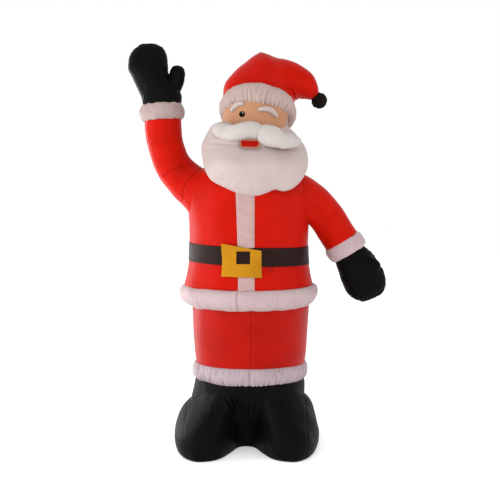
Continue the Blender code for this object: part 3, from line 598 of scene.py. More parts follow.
def cloth(name, colour, roughness, sheen=0.0, weave=0.0018, tint=0.10, crinkle=0.0012, fuzz=0.0, gloss=0.1):
    """Woven nylon or plush: threads, fine crinkles, slow colour changes and painted shade in its folds."""
    made = bpy.data.materials.new(name)
    made.use_nodes = True
    tree = made.node_tree
    shader = tree.nodes["Principled BSDF"]
    place = add(tree, "ShaderNodeTexCoord")
    flat = place.outputs["UV"]
    solid = place.outputs["Object"]
    scale = WAVE_PERIOD / weave
    warp = add(tree, "ShaderNodeTexWave", {"Vector": flat, "Scale": scale}, bands_direction="X")
    weft = add(tree, "ShaderNodeTexWave", {"Vector": flat, "Scale": scale}, bands_direction="Y")
    threads = add(tree, "ShaderNodeMath", {0: warp.outputs["Fac"], 1: weft.outputs["Fac"]}, operation="ADD")
    wide = add(tree, "ShaderNodeTexNoise", {"Vector": solid, "Scale": 7.0, "Detail": 4.0})
    fine = add(tree, "ShaderNodeTexNoise", {"Vector": solid, "Scale": 70.0, "Detail": 5.0})
    # Painted shade: the 'fold' attribute mixes in a darker colour where the cloth lies in a fold or a seam
    # groove
    painted_crease_shade = add(tree, "ShaderNodeAttribute", attribute_name="fold")

    ramp = add(tree, "ShaderNodeValToRGB", {"Fac": wide.outputs["Fac"]})
    stops = ramp.color_ramp.elements
    stops[0].position, stops[1].position = 0.3, 0.7
    stops[0].color = (*(c * (1.0 - tint) for c in colour), 1.0)
    stops[1].color = (*(min(1.0, c * (1.0 + tint * 0.6)) for c in colour), 1.0)
    darker = (*(c * share for c, share in zip(colour, FOLD_SHADE)), 1.0)
    mixed = {"Fac": painted_crease_shade.outputs["Fac"], "Color1": ramp.outputs["Color"], "Color2": darker}
    shade_mix = add(tree, "ShaderNodeMixRGB", mixed)
    tree.links.new(shade_mix.outputs["Color"], shader.inputs["Base Color"])

    rough_range = {"Value": fine.outputs["Fac"], "To Min": roughness - 0.06, "To Max": roughness + 0.08}
    rough = add(tree, "ShaderNodeMapRange", rough_range)
    tree.links.new(rough.outputs["Result"], shader.inputs["Roughness"])

    bump = add(tree, "ShaderNodeBump", {"Height": threads.outputs[0], "Distance": 0.0002, "Strength": 0.35})
    layers = [(fine, crinkle, 0.6)]
    if fuzz:
        pile = add(tree, "ShaderNodeTexNoise", {"Vector": solid, "Scale": 420.0, "Detail": 3.0})
        layers.append((pile, fuzz, 0.8))
    for noise, distance, strength in layers:
        values = {"Height": noise.outputs["Fac"], "Distance": distance, "Strength": strength}
        bump = add(tree, "ShaderNodeBump", {**values, "Normal": bump.outputs["Normal"]})
    tree.links.new(bump.outputs["Normal"], shader.inputs["Normal"])
    set_inputs(shader, {"Sheen Weight": sheen, "Sheen Roughness": 0.5, "Specular IOR Level": gloss})
    return made


PLUSH = {"sheen": 0.1, "tint": 0.04, "fuzz": 0.0012}
FLEECE = {"sheen": 0.02, "fuzz": 0.002, "gloss": 0.05}
TROUSER_NYLON = {"sheen": 0.04, "gloss": 0.05}

# Each cloth's slot, its material's name, colour, roughness and other settings
CLOTHS = {
    "red": ("red_nylon", "red nylon", (0.425, 0.0050, 0.0006), 0.40, {"sheen": 0.012, "gloss": 0.04}),
    # Painted shade: a darker copy of the red nylon for the trousers, which get less light lower down
    "painted shade red": ("red_nylon", "red trouser nylon", (0.345, 0.004, 0.0006), 0.36, TROUSER_NYLON),
    "white": ("white_nylon", "white nylon", (0.420, 0.318, 0.326), 0.5, {"tint": 0.05}),
    # Painted shade: a darker copy of the white nylon for the trouser trim
    "shaded white": ("white_nylon", "white trouser trim nylon", (0.355, 0.280, 0.305), 0.5, {"tint": 0.06}),
    # Painted shade: a darker copy of the white nylon for the raised cuff
    "painted shade cuff white": ("white_nylon", "white cuff nylon", (0.345, 0.262, 0.248), 0.5, {"tint": 0.06}),
    # Painted light: a warm-tinted copy of the white nylon, as in warm light, for the hair and the hat band
    "painted warm light white": ("white_nylon", "white nylon in warm light", (0.400, 0.300, 0.270), 0.5, {"tint": 0.05}),
    "beard": ("white_nylon", "white beard nylon", (0.430, 0.350, 0.335), 0.5, {"tint": 0.04}),
    "pink": ("white_nylon", "white nylon over red", (0.420, 0.275, 0.262), 0.5, {"tint": 0.06}),
    "black": ("black_nylon", "black nylon", (0.0028, 0.0024, 0.0024), 0.46, {"gloss": 0.035}),
    "belt": ("black_nylon", "black nylon belt", (0.0120, 0.0030, 0.0022), 0.5, {"gloss": 0.10}),
    "skin": ("skin_nylon", "skin nylon", (0.410, 0.200, 0.108), 0.5, {"tint": 0.05}),
    "lip": ("skin_nylon", "lip nylon", (0.560, 0.175, 0.080), 0.5, {"tint": 0.05}),
    "yellow": ("yellow_cloth", "yellow cloth", (0.430, 0.190, 0.006), 0.5, {"gloss": 0.05}),
    "plush": ("white_plush", "white plush", (0.450, 0.405, 0.388), 0.85, PLUSH),
    "brow": ("white_plush", "white plush brow", (0.440, 0.360, 0.325), 0.85, {"tint": 0.04, "fuzz": 0.0008}),
    "fleece": ("black_nylon", "black fleece", (0.008, 0.004, 0.0032), 0.85, FLEECE),
    "dark red": ("red_nylon", "dark red nylon", (0.300, 0.0036, 0.0012), 0.42, {"gloss": 0.05}),
    "mouth": ("red_nylon", "red mouth", (0.450, 0.005, 0.002), 0.45, {"gloss": 0.04}),
    "eye": ("black_nylon", "black eye", (0.002, 0.002, 0.002), 0.35, {"crinkle": 0.0002, "gloss": 0.03}),
}
MATERIALS = {kind: cloth(*looks, **settings) for kind, (_, *looks, settings) in CLOTHS.items()}


def finish_piece(piece, kind, nodes):
    piece.data.materials.clear()
    piece.data.materials.append(MATERIALS[kind])
    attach(piece, "root")
    if nodes:
        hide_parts(*nodes)
    return piece


# Painted shade of the folds, kept in the 'fold' attribute
def paint_fold_shade(mesh, folds):
    shade_layer = mesh.attributes.new("fold", "FLOAT", "POINT")
    shade_layer.data.foreach_set("value", np.clip(folds, 0.0, 1.0).ravel().astype(np.float32))


def sew(name, grid, kind, *nodes, closed=False, folds=None):
    """A closed mesh from a grid of rows that run round, in place of those CAD nodes."""
    rows, columns = grid.shape[:2]
    sign = outward(grid, closed)[1]
    row, column = np.meshgrid(np.arange(rows if closed else rows - 1), np.arange(columns), indexing="ij")
    next_row = (row + 1) % rows
    next_column = (column + 1) % columns
    quads = np.stack(
        [
            row * columns + column,
            row * columns + next_column,
            next_row * columns + next_column,
            next_row * columns + column,
        ],
        axis=-1,
    ).reshape(-1, 4)
    places = np.stack(
        [
            np.stack([column, row], -1),
            np.stack([column + 1, row], -1),
            np.stack([column + 1, row + 1], -1),
            np.stack([column, row + 1], -1),
        ],
        axis=2,
    ).reshape(-1, 4, 2)
    round_size = np.linalg.norm(np.roll(grid, -1, axis=1) - grid, axis=2).mean()
    row_size = np.linalg.norm(np.diff(grid, axis=0), axis=2).mean()
    if sign > 0:
        quads = quads[:, ::-1]
        places = places[:, ::-1]
    faces = quads.tolist()
    if not closed:
        first = list(range(columns))
        last = list(range((rows - 1) * columns, rows * columns))
        faces.append(first if sign > 0 else first[::-1])
        faces.append(last[::-1] if sign > 0 else last)
    mesh = bpy.data.meshes.new(name)
    mesh.from_pydata(grid.reshape(-1, 3).tolist(), [], faces)
    flat = mesh.uv_layers.new(name="cloth")
    laid = np.zeros((len(mesh.loops), 2), np.float32)
    laid[: places.shape[0] * 4] = places.reshape(-1, 2) * (round_size, row_size)
    flat.data.foreach_set("uv", laid.ravel())
    # Painted shade in the folds, if given
    if folds is not None:
        paint_fold_shade(mesh, folds)
    mesh.shade_smooth()
    return finish_piece(place_object(name, mesh), kind, nodes)


def painted_fold_shade(field, full=0.006):
    """Painted shade in a fold: how dark it is drawn, only where it lies below the cloth around it."""
    return np.clip(-field / full, 0.0, 1.0) * 0.55


def coat_radius(height):
    share = (np.asarray(height) - COAT_LOW) / COAT_HEIGHT
    flare = positive(1.0 - share / FLARE_SHARE) ** 2
    dome = np.clip((share - DOME_SHARE) / (1.0 - DOME_SHARE), 0.0, 1.0)
    return CHEST_RADIUS * (1.0 - dome**3) ** (1 / 3) + (HEM_RADIUS - CHEST_RADIUS) * flare


def body_grid(heights, radii, columns):
    turns = turns_round(columns)
    x = radii[:, None] * np.cos(turns)
    y = -radii[:, None] * BODY_DEPTH * np.sin(turns)
    return np.stack([x, y, spread(heights, columns)], axis=-1)


def turn_of(grid):
    """How far round the body each point is: a quarter turn is the front."""
    return np.arctan2(-grid[..., 1] / BODY_DEPTH, grid[..., 0])


def arc(grid, seam_turn, radius):
    """Distance round the body from an upright seam."""
    return centred(turn_of(grid) - seam_turn) * radius


def upright_seam(grid, seam_turn, radius, seed, depth=0.002):
    """A sewn upright seam with small puckers across it."""
    offset = arc(grid, seam_turn, radius)
    span = np.ptp(grid[..., 2]) + 0.05
    puckers = both_sides(offset, grid[..., 2] - grid[..., 2].min(), span, seed, PUCKERS["upright seam"])
    return groove(offset, 0.005, depth) + puckers


def coat_swell(points):
    """Slow unevenness of the coat, which the belt and strips on it follow."""
    side = np.clip(points[..., 0] / CHEST_RADIUS, -1.0, 1.0)
    fill = COAT_LEFT_FILL * positive(-side) ** 2 - COAT_RIGHT_DRAW * positive(side) ** 2
    return 0.0018 * swells(points, 0.30, 11) + fill


def trousers():
    heights = np.linspace(TROUSERS_LOW - 0.02, TROUSERS_TOP + 0.03, 82)
    share = np.clip((heights - TROUSERS_LOW) / (TROUSERS_TOP - TROUSERS_LOW), 0.0, 1.0)
    radii = ANKLE_RADIUS + (TROUSER_RADIUS - ANKLE_RADIUS) * share**0.55
    grid = body_grid(heights, radii, BODY_COLUMNS)
    above = positive(grid[..., 2] - TROUSERS_LOW)
    below = positive(TROUSERS_TOP - grid[..., 2])
    around = turn_of(grid) * TROUSER_RADIUS
    span = TAU * TROUSER_RADIUS
    field = 0.0015 * swells(grid, 0.25, 3)
    field += TROUSER_RIGHT_FILL * positive(np.cos(turn_of(grid))) ** 2
    field += gathers(around, above, span, 21, PUCKERS["trousers low"])
    field += gathers(around, below, span, 22, PUCKERS["trousers top"])
    field += upright_seam(grid, math.acos(TROUSER_SEAM / TROUSER_RADIUS), TROUSER_RADIUS, 31, 0.004)
    for seam, turn in enumerate((0.0, math.pi, -math.pi / 2)):
        field += upright_seam(grid, turn, TROUSER_RADIUS, 40 + 5 * seam)
    # The trousers' red is darkened as painted shade
    sew("trousers_cloth", push(grid, field), "painted shade red", "trousers", folds=painted_fold_shade(field))


def trim(node, rise, drop, low_radius, high_radius, bulge, shift, seed, seam_x, depth, spacing, sag=None):
    """A padded white ring between two tubes, gathered into both of its seams."""
    base, top = low(node) + rise, high(node) - drop
    share, swell, inset = padded_rows(46)
    radii = low_radius + (high_radius - low_radius) * share + bulge * swell - inset
    grid = body_grid(base + (top - base) * share, radii, TRIM_COLUMNS)
    grid[..., 0] += shift * swell[:, None]
    turn = turn_of(grid)
    if sag is not None:
        grid[..., 2] += sag(turn, share[:, None])
    edge = 0.003 * swells(grid * (1, 1, 0), 0.10, seed + 3)
    grid[..., 2] += edge * (1.0 - 0.6 * share[:, None])
    radius = (low_radius + high_radius) / 2
    length = (top - base) * 1.35
    around = turn * radius
    span = TAU * radius
    lower = spread(share * length, TRIM_COLUMNS)
    upper = length - lower
    front_turn = math.acos(seam_x / radius)
    field = 0.0014 * swells(grid, 0.14, seed + 4)
    field += gathers(around, lower, span, seed, (spacing, 0.070, depth, 0.12))
    field += gathers(around, upper, span, seed + 1, (1.1 * spacing, 0.060, 0.8 * depth, 0.12))
    field += gathers(around, lower, span, seed + 2, (0.070, 0.120, 0.7 * depth, 0.12))
    held = np.minimum(1.0, swell * 1.6)[:, None]
    calm = 1.0 - 0.75 * bell(arc(grid, front_turn, radius) / 0.016)
    field = field * held * (0.45 + 0.55 * np.abs(np.cos(turn))) * calm
    seams = sum(groove(arc(grid, at, radius), 0.0050, 0.0050) * held for at in (front_turn, -math.pi / 2))
    # Painted shade in the folds and in the seam grooves
    return push(grid, field + seams), painted_fold_shade(field) + painted_fold_shade(seams, 0.0035)


def trims():
    def sag(turn, share):
        drop = TROUSER_TRIM_LIFT - TROUSER_TRIM_SAG * np.cos(turn) ** 2
        return TROUSER_TRIM_RISE * (1.0 - share) + 0.35 * drop * share

    grid, painted_shade = trim(
        "trouser_trim", 0.0, 0.0, ANKLE_RADIUS, ANKLE_RADIUS,
        TROUSER_TRIM_BULGE, 0.0, 100, TROUSER_TRIM_SEAM, 0.0105, 0.026, sag,
    )
    # The trouser trim's white is darkened as painted shade
    sew("trouser_trim_cloth", grid, "shaded white", "trouser_trim", folds=painted_shade)
    grid, painted_shade = trim(
        "coat_trim", COAT_TRIM_RISE, COAT_TRIM_DROP, TROUSER_RADIUS, HEM_RADIUS,
        COAT_TRIM_BULGE, COAT_TRIM_SHIFT, 120, COAT_TRIM_SEAM, 0.0048, 0.018,
    )
    sew("coat_trim_cloth", grid, "white", "coat_trim", folds=painted_shade)


def sleeve_path(spine, side, step=0.005):
    """Even points along the middle of a sleeve, and their shares of its keys."""
    keys = np.array([(side * out, -SLEEVE_DEPTH, COAT_TOP + rise) for out, rise in spine])
    at = np.linspace(0.0, 1.0, 200)
    path = curve(keys, at)
    return evenly(np.column_stack([path, at]), step)


def tube_axes(path):
    way = unit(np.gradient(path, axis=0))
    side = unit(np.cross(way, FORWARD))
    return way, side, unit(np.cross(side, way))


def tube_depth(points, path, radii):
    """Distance of points from the surface of a bent tube, and how far round it each lies."""
    nearest = np.full(points.shape[:-1], np.inf)
    which = np.zeros(points.shape[:-1], int)
    for i in range(0, len(path), 2):
        distance = np.linalg.norm(points - path[i], axis=-1) - radii[i]
        closer = distance < nearest
        nearest = np.where(closer, distance, nearest)
        which = np.where(closer, i, which)
    _, side, front = tube_axes(path)
    offset = points - path[which]
    turn = np.arctan2((offset * front[which]).sum(-1), (offset * side[which]).sum(-1))
    return nearest, turn


def armhole_fill(grid, distance):
    """How far a surface rises towards the one it meets, so that the two melt into one on the front."""
    facing = np.clip(-1.6 * outward(grid)[0][..., 1], 0.0, 1.0)
    share = np.clip(1.0 - distance / ARMHOLE_BLEND, 0.0, 1.0)
    return ARMHOLE_BLEND / 4 * share**2 * facing


ARMS = {
    "raised": (RAISED_SPINE, RAISED_RADII, -1),
    "lowered": (LOWERED_SPINE, LOWERED_RADII, 1),
}


def arm_line(name):
    spine, radii, side = ARMS[name]
    path = sleeve_path(spine, side)
    return path[:, :3], curve(np.array(radii), path[:, 3])


def strip_edge(height, side):
    """Where the front strip's left (-1) or right (1) edge is at that height."""
    middle = BELT_MIDDLE + STRIP_OFFSET * BELT_SLOPE
    widening = STRIP_TOP_EXTRA * positive(height - middle) / (COAT_HEIGHT / 2)
    return STRIP_OFFSET + side * STRIP_WIDTH / 2 - (widening if side < 0 else 0.0)


def coat():
    turns = np.linspace(0.0, math.pi / 2, 160)
    dome = np.sin(turns[:-6]) ** (2 / 3)
    shares = np.concatenate([np.linspace(0.0, DOME_SHARE, 120)[:-1], DOME_SHARE + (1 - DOME_SHARE) * dome])
    heights = COAT_LOW + shares * COAT_HEIGHT
    line = evenly(np.column_stack([coat_radius(heights), heights]), 0.0056)
    line = np.concatenate([[[line[0, 0] - 0.004, line[0, 1] - 0.012]], line])
    grid = body_grid(line[:, 1], line[:, 0], BODY_COLUMNS)
    field = coat_swell(grid)
    around = turn_of(grid) * CHEST_RADIUS
    span = TAU * CHEST_RADIUS
    above_hem = positive(grid[..., 2] - COAT_LOW)
    field += gathers(around, above_hem, span, 201, PUCKERS["coat hem"])
    field += upright_seam(grid, -math.pi / 2, CHEST_RADIUS, 210)
    for seam, turn in enumerate((-0.05, math.pi + 0.05)):
        field += upright_seam(grid, turn, CHEST_RADIUS, 220 + 5 * seam)
    belt_offset = grid[..., 2] - BELT_MIDDLE - grid[..., 0] * BELT_SLOPE
    outside_belt = np.abs(belt_offset) - BELT_WIDTH / 2
    for side in (-1, 1):
        away = positive(side * belt_offset - BELT_WIDTH / 2)
        near = (side * belt_offset > 0) * (outside_belt > 0)
        field += gathers(around, away, span, 230 + side, PUCKERS["coat at belt"]) * near
    field -= 0.003 * bell(belt_offset / 0.085)
    front = grid[..., 1] < 0
    under = front * 1.0
    for side in (-1, 1):
        offset = side * (grid[..., 0] - strip_edge(grid[..., 2], side))
        away = positive(offset)
        puckers = gathers(grid[..., 2] - COAT_LOW, away, 0.9, 240 + side, PUCKERS["coat at strip"])
        field += (puckers + groove(offset, 0.005, 0.001)) * front * (offset > 0.0)
        under = under * ease(-offset / 0.005)
    field = field * (1.0 - under) + (coat_swell(grid) - 0.003) * under
    fill = 0.0
    for number, name in enumerate(ARMS):
        path, radii = arm_line(name)
        distance, turn = tube_depth(grid, path, radii)
        away = positive(distance)
        fill += armhole_fill(grid, distance)
        puckers = gathers(turn * 0.13, away, TAU * 0.13, 260 + number, PUCKERS["coat at sleeve"])
        field += puckers * (distance > -0.01)
    painted_shade = painted_fold_shade(field - coat_swell(grid))
    seams = arm_seams(grid)
    # Painted shade in the arm seams' grooves too
    painted_shade = painted_shade + painted_fold_shade(seams, 0.0025)
    sew("coat_cloth", push(grid, field + seams + fill), "red", "coat", folds=painted_shade)


def on_coat(across, height, lift):
    """Points lift in front of the coat at those places across and heights."""
    radius = coat_radius(height)
    ahead = BODY_DEPTH * np.sqrt(positive(radius**2 - across**2))
    points = np.stack([across + 0 * height, -ahead + 0 * across, height + 0 * across], axis=-1)
    way = unit(points * (1.0, 1.0 / BODY_DEPTH**2, 0.0))
    return points + way * (lift + coat_swell(points) - 0.001)[..., None]


def belt():
    """A loop of thin cloth that lies on the coat, a little lower at +X."""
    rows = 22
    across = np.linspace(-0.5, 0.5, rows)
    section = [(a, BELT_LIFT) for a in across] + [(0.5, -0.004), (-0.5, -0.004)]
    turns = turns_round(BODY_COLUMNS)
    grid = []
    for place, lift in section:
        height = BELT_MIDDLE + place * BELT_WIDTH + np.cos(turns) * CHEST_RADIUS * BELT_SLOPE
        radius = coat_radius(height)
        points = np.stack([radius * np.cos(turns), -radius * BODY_DEPTH * np.sin(turns), height], axis=-1)
        way = unit(points * (1.0, 1.0 / BODY_DEPTH**2, 0.0))
        grid.append(points + way * (lift - 0.001 + coat_swell(points))[:, None])
    grid = np.array(grid)
    around = turn_of(grid) * CHEST_RADIUS
    span = TAU * CHEST_RADIUS
    shares = spread([place for place, _ in section], BODY_COLUMNS)
    field = np.zeros(grid.shape[:2])
    for side in (-1, 1):
        away = (0.5 - side * shares) * BELT_WIDTH
        field += gathers(around, away, span, 300 + side, PUCKERS["belt"])
    field[rows:] = 0.0
    sew("belt_cloth", push(grid, field, True), "belt", "belt", closed=True, folds=painted_fold_shade(field))


def strips():
    """White cloth down the coat's front, above and below the belt."""
    middle = BELT_MIDDLE + STRIP_OFFSET * BELT_SLOPE
    spans = {
        "front_strip_upper": (middle + BELT_WIDTH / 2 - 0.004, COAT_LOW + 0.9 * COAT_HEIGHT),
        "front_strip_lower": (COAT_LOW - 0.006, middle - BELT_WIDTH / 2 + 0.004),
    }
    columns = 26
    for number, (name, (bottom, top)) in enumerate(spans.items()):
        height = spread(np.linspace(bottom, top, max(12, int((top - bottom) / 0.004))), columns)
        shares = np.linspace(0.0, 1.0, columns)
        left = strip_edge(height, -1)
        across = left + (strip_edge(height, 1) - left) * shares
        edge = np.minimum(shares, 1.0 - shares) * STRIP_WIDTH
        puckers = 0.0
        for side, away in ((0, shares * STRIP_WIDTH), (1, (1.0 - shares) * STRIP_WIDTH)):
            seed = 320 + 2 * number + side
            puckers = puckers + gathers(height - bottom, away, 0.8, seed, PUCKERS["strip"])
        puckers = puckers * ease(edge / 0.006 + 0.2)
        outer = on_coat(across, height, STRIP_LIFT + 0.0035 * ease(edge / 0.02) + puckers)
        inner = on_coat(across[:, ::-1], height, np.full(height.shape, -0.006))
        painted_shade = np.concatenate([painted_fold_shade(puckers, 0.0035), np.zeros(height.shape)], axis=1)
        sew(name + "_cloth", np.concatenate([outer, inner], axis=1), "pink", name, folds=painted_shade)


def polygon(corners, per_side):
    """Points round straight sides, from the first corner."""
    corners = np.array(corners)
    share = np.linspace(0.0, 1.0, per_side, endpoint=False)[:, None]
    return np.concatenate([a + (b - a) * share for a, b in zip(corners, np.roll(corners, -1, axis=0))])


def rectangle(width, height, per_side):
    """Points round a rectangle from its lower left corner, as (across, up)."""
    corners = np.array([(-0.5, -0.5), (0.5, -0.5), (0.5, 0.5), (-0.5, 0.5)])
    return polygon(corners * (width, height), per_side)


def coat_dot():
    """A small round spot of darker red cloth below the belt."""
    turns = turns_round(40)
    lifts = [(share, 0.0025 - 0.0010 * share**4) for share in (0.03, 0.3, 0.55, 0.75, 0.9, 1.0)]
    rows = []
    for share, lift in [*lifts, (1.0, -0.002)]:
        across = DOT[0] + DOT_RADIUS * share * np.cos(turns)
        height = DOT[1] + DOT_RADIUS * share * np.sin(turns)
        rows.append(on_coat(across, height, np.full(40, lift)))
    sew("coat_dot", np.array(rows), "dark red")


def buckle():
    """A flap of yellow cloth that hangs before the belt, with a hemmed edge and a square window."""
    middle = BELT_MIDDLE + BUCKLE_DROP
    width, height, offset, rise = WINDOW
    per_side = 36
    outer = rectangle(BUCKLE_WIDTH, BUCKLE_HEIGHT, per_side)
    slope = np.where(outer[:, 1] > 0, BUCKLE_TOP_SLOPE, BUCKLE_BOTTOM_SLOPE)
    share_up = np.abs(outer[:, 1]) / (BUCKLE_HEIGHT / 2)
    outer[:, 1] += outer[:, 0] * slope * share_up
    inner = rectangle(width, height, per_side) + (offset, rise)
    shares = np.linspace(0.0, 1.0, 22)[:, None, None]
    flat = inner + (outer - inner) * shares
    across = BUCKLE_OFFSET + flat[..., 0]
    up = middle + flat[..., 1]
    to_right, to_top = flat[..., 0], flat[..., 1]
    stand = BUCKLE_STAND_OFF + BUCKLE_WAVE * np.sin(to_right * 22.0 + 1.0) * (0.4 + to_top * 4)
    stand += BUCKLE_TOP_CURL * ease((-to_right - 0.06) / 0.06) * ease((to_top + 0.01) / 0.09)
    stand += BUCKLE_LOW_CURL * ease((to_right - 0.07) / 0.05) * ease(-to_top / 0.08)
    from_top = BUCKLE_HEIGHT / 2 + to_right * BUCKLE_TOP_SLOPE - to_top
    hem = np.exp(-((from_top / BUCKLE_HEM) ** 4))
    to_edge = (1.0 - shares[..., 0]) + 0 * stand
    rim = bell(to_edge / 0.05) + bell((1.0 - to_edge) / 0.04)
    thick = BUCKLE_THICKNESS * (1.0 + 1.2 * hem)
    front_lift = BELT_LIFT + stand + thick + 0.0012 * hem - 0.0009 * rim
    held = np.full(up.shape, BELT_MIDDLE)
    flare = positive(coat_radius(up) - coat_radius(held))
    base = on_coat(across, held, front_lift + flare)
    base[..., 2] = up
    back = on_coat(across, held, BELT_LIFT + stand + flare)
    back[..., 2] = up
    grid = np.concatenate([base, back[::-1]], axis=0)
    # Painted shade: a dark line under the hem's fold, darker towards the lower right, and darker along the
    # outer edge and the window's edge
    hem_shade_line = bell((from_top - BUCKLE_HEM_SHADE_LINE) / 0.0022)
    shade = 0.55 * ease((to_right + 0.02) / 0.13) * ease((0.06 - to_top) / 0.10) + 0.2 * rim
    painted_shade = np.concatenate([0.5 * hem_shade_line + shade, np.zeros(shade.shape)], axis=0)
    piece = sew("buckle_cloth", grid, "yellow", "buckle", closed=True, folds=painted_shade)


def sleeves():
    for number, (name, (spine, radii_keys, side)) in enumerate(ARMS.items()):
        line = sleeve_path(spine, side, ARM_STEP)
        path, at = line[:, :3], line[:, 3]
        sizes = curve(np.array(radii_keys), at)[:, None]
        _, across, front = tube_axes(path)
        grid = rings(path, across * sizes, front * sizes, LIMB_COLUMNS)
        body = np.hypot(grid[..., 0], grid[..., 1] / BODY_DEPTH)
        outside = body - np.where(grid[..., 2] < COAT_TOP, coat_radius(grid[..., 2]), 0.0)
        first = int(np.argmax((outside > -0.03).any(axis=1)))
        grid, at, outside = grid[first:], at[first:], outside[first:]
        length = np.linspace(0.0, 1.0, len(at)) * ARM_STEP * len(at)
        along = spread(length, LIMB_COLUMNS)
        turns = turns_round(LIMB_COLUMNS) + 0 * along
        around = turns * ARM_RADIUS
        span = TAU * ARM_RADIUS
        seed = 400 + 40 * number
        field = 0.002 + 0.0025 * swells(grid, 0.16, seed)
        seams = arm_seams(grid)
        for share, tilt in RING_SEAMS[name]:
            offset = along - np.interp(share, at, length) - tilt * ARM_RADIUS * np.cos(turns)
            seams = seams + groove(offset, 0.0045, 0.0022)
            field += both_sides(offset, around, span, seed + 3, PUCKERS["sleeve ring"], 2)
        field += gathers(around, length[-1] - along, span, seed + 12, PUCKERS["sleeve end"])
        away = positive(outside)
        puckers = gathers(turns * 0.12, away, TAU * 0.12, seed + 14, PUCKERS["sleeve at coat"])
        field += puckers * (outside > -0.01)
        bend = bell((at - 0.45) / 0.22)[:, None]
        inner = np.abs(centred(turns)) * 0.11
        field += bend * gathers(along, inner, length[-1], seed + 16, PUCKERS["sleeve bend"])
        field += tube_seam(along, centred(turns), -math.pi / 2, ARM_RADIUS, seed + 20)
        # Painted shade in the folds and in the seam grooves
        painted_shade = painted_fold_shade(field) + painted_fold_shade(seams, 0.0025)
        shape = push(grid, field + seams + armhole_fill(grid, outside))
        sew("sleeve_" + name + "_cloth", shape, "red", "sleeve_" + name, folds=painted_shade)


def tube_seam(along, turns, seam_turn, radius, seed):
    """The lengthwise seam of a tube, with small puckers across it."""
    offset = centred(turns - seam_turn) * radius
    puckers = both_sides(offset, along, along.max() + 0.05, seed, PUCKERS["sleeve seam"])
    return groove(offset, 0.005, 0.0018) + puckers


def wrist(name):
    path = arm_line(name)[0]
    return path[-1], unit(path[-1] - path[-3])


def cuff(name, length, radius, kind, seed):
    """A padded ring between a sleeve and its mitten."""
    start, way = wrist(name)
    wrist_radius = ARMS[name][1][-1]
    across = unit(np.cross(way, FORWARD))
    front = np.cross(across, way)
    share, swell, inset = padded_rows(44)
    size = wrist_radius + (radius - wrist_radius) * swell - inset
    deep = wrist_radius + (radius * CUFF_DEPTH - wrist_radius) * swell - inset
    centres = start + way * (length * share)[:, None]
    grid = rings(centres, across * size[:, None], front * deep[:, None], CUFF_COLUMNS)
    edge = swells(grid - way * ((grid - start) @ way)[..., None], 0.055, seed)
    grid = grid + way * (0.0028 * edge * (2 * np.abs(share - 0.5))[:, None])[..., None]
    around = turns_round(CUFF_COLUMNS) * radius
    reach = spread(share * length * 1.3, CUFF_COLUMNS)
    field = 0.002 * swells(grid, 0.07, seed + 1)
    field += gathers(around, reach, TAU * radius, seed + 2, PUCKERS["cuff"])
    field += gathers(around, length * 1.3 - reach, TAU * radius, seed + 3, PUCKERS["cuff"])
    field = field * np.minimum(1.0, swell * 1.6)[:, None]
    sew("cuff_" + name + "_cloth", push(grid, field), kind, "cuff_" + name, folds=painted_fold_shade(field))
    return start + way * length, way


def evaluated_mesh(piece):
    """The piece's mesh with its modifiers in it, and none left on the piece."""
    bpy.context.view_layer.update()
    graph = bpy.context.evaluated_depsgraph_get()
    made = bpy.data.meshes.new_from_object(piece.evaluated_get(graph), depsgraph=graph)
    piece.modifiers.clear()
    old = piece.data
    piece.data = made
    bpy.data.meshes.remove(old)
    return made


def plain_mesh(grids):
    """One object with each grid in it as a closed skin."""
    points, faces = [], []
    for grid in grids:
        base = len(points)
        rows, columns = grid.shape[:2]
        points.extend(grid.reshape(-1, 3).tolist())
        for row in range(base, base + (rows - 1) * columns, columns):
            for column in range(columns):
                after = (column + 1) % columns
                faces.append([row + column, row + after, row + columns + after, row + columns + column])
        faces.append([base + column for column in range(columns)][::-1])
        faces.append([base + (rows - 1) * columns + column for column in range(columns)])
    mesh = bpy.data.meshes.new("joined")
    mesh.from_pydata(points, [], faces)
    return place_object("joined", mesh)


def read_vectors(items, count, key):
    """The vectors of a mesh's points or normals, one a row."""
    values = np.zeros(count * 3)
    items.foreach_get(key, values)
    return values.reshape(-1, 3)


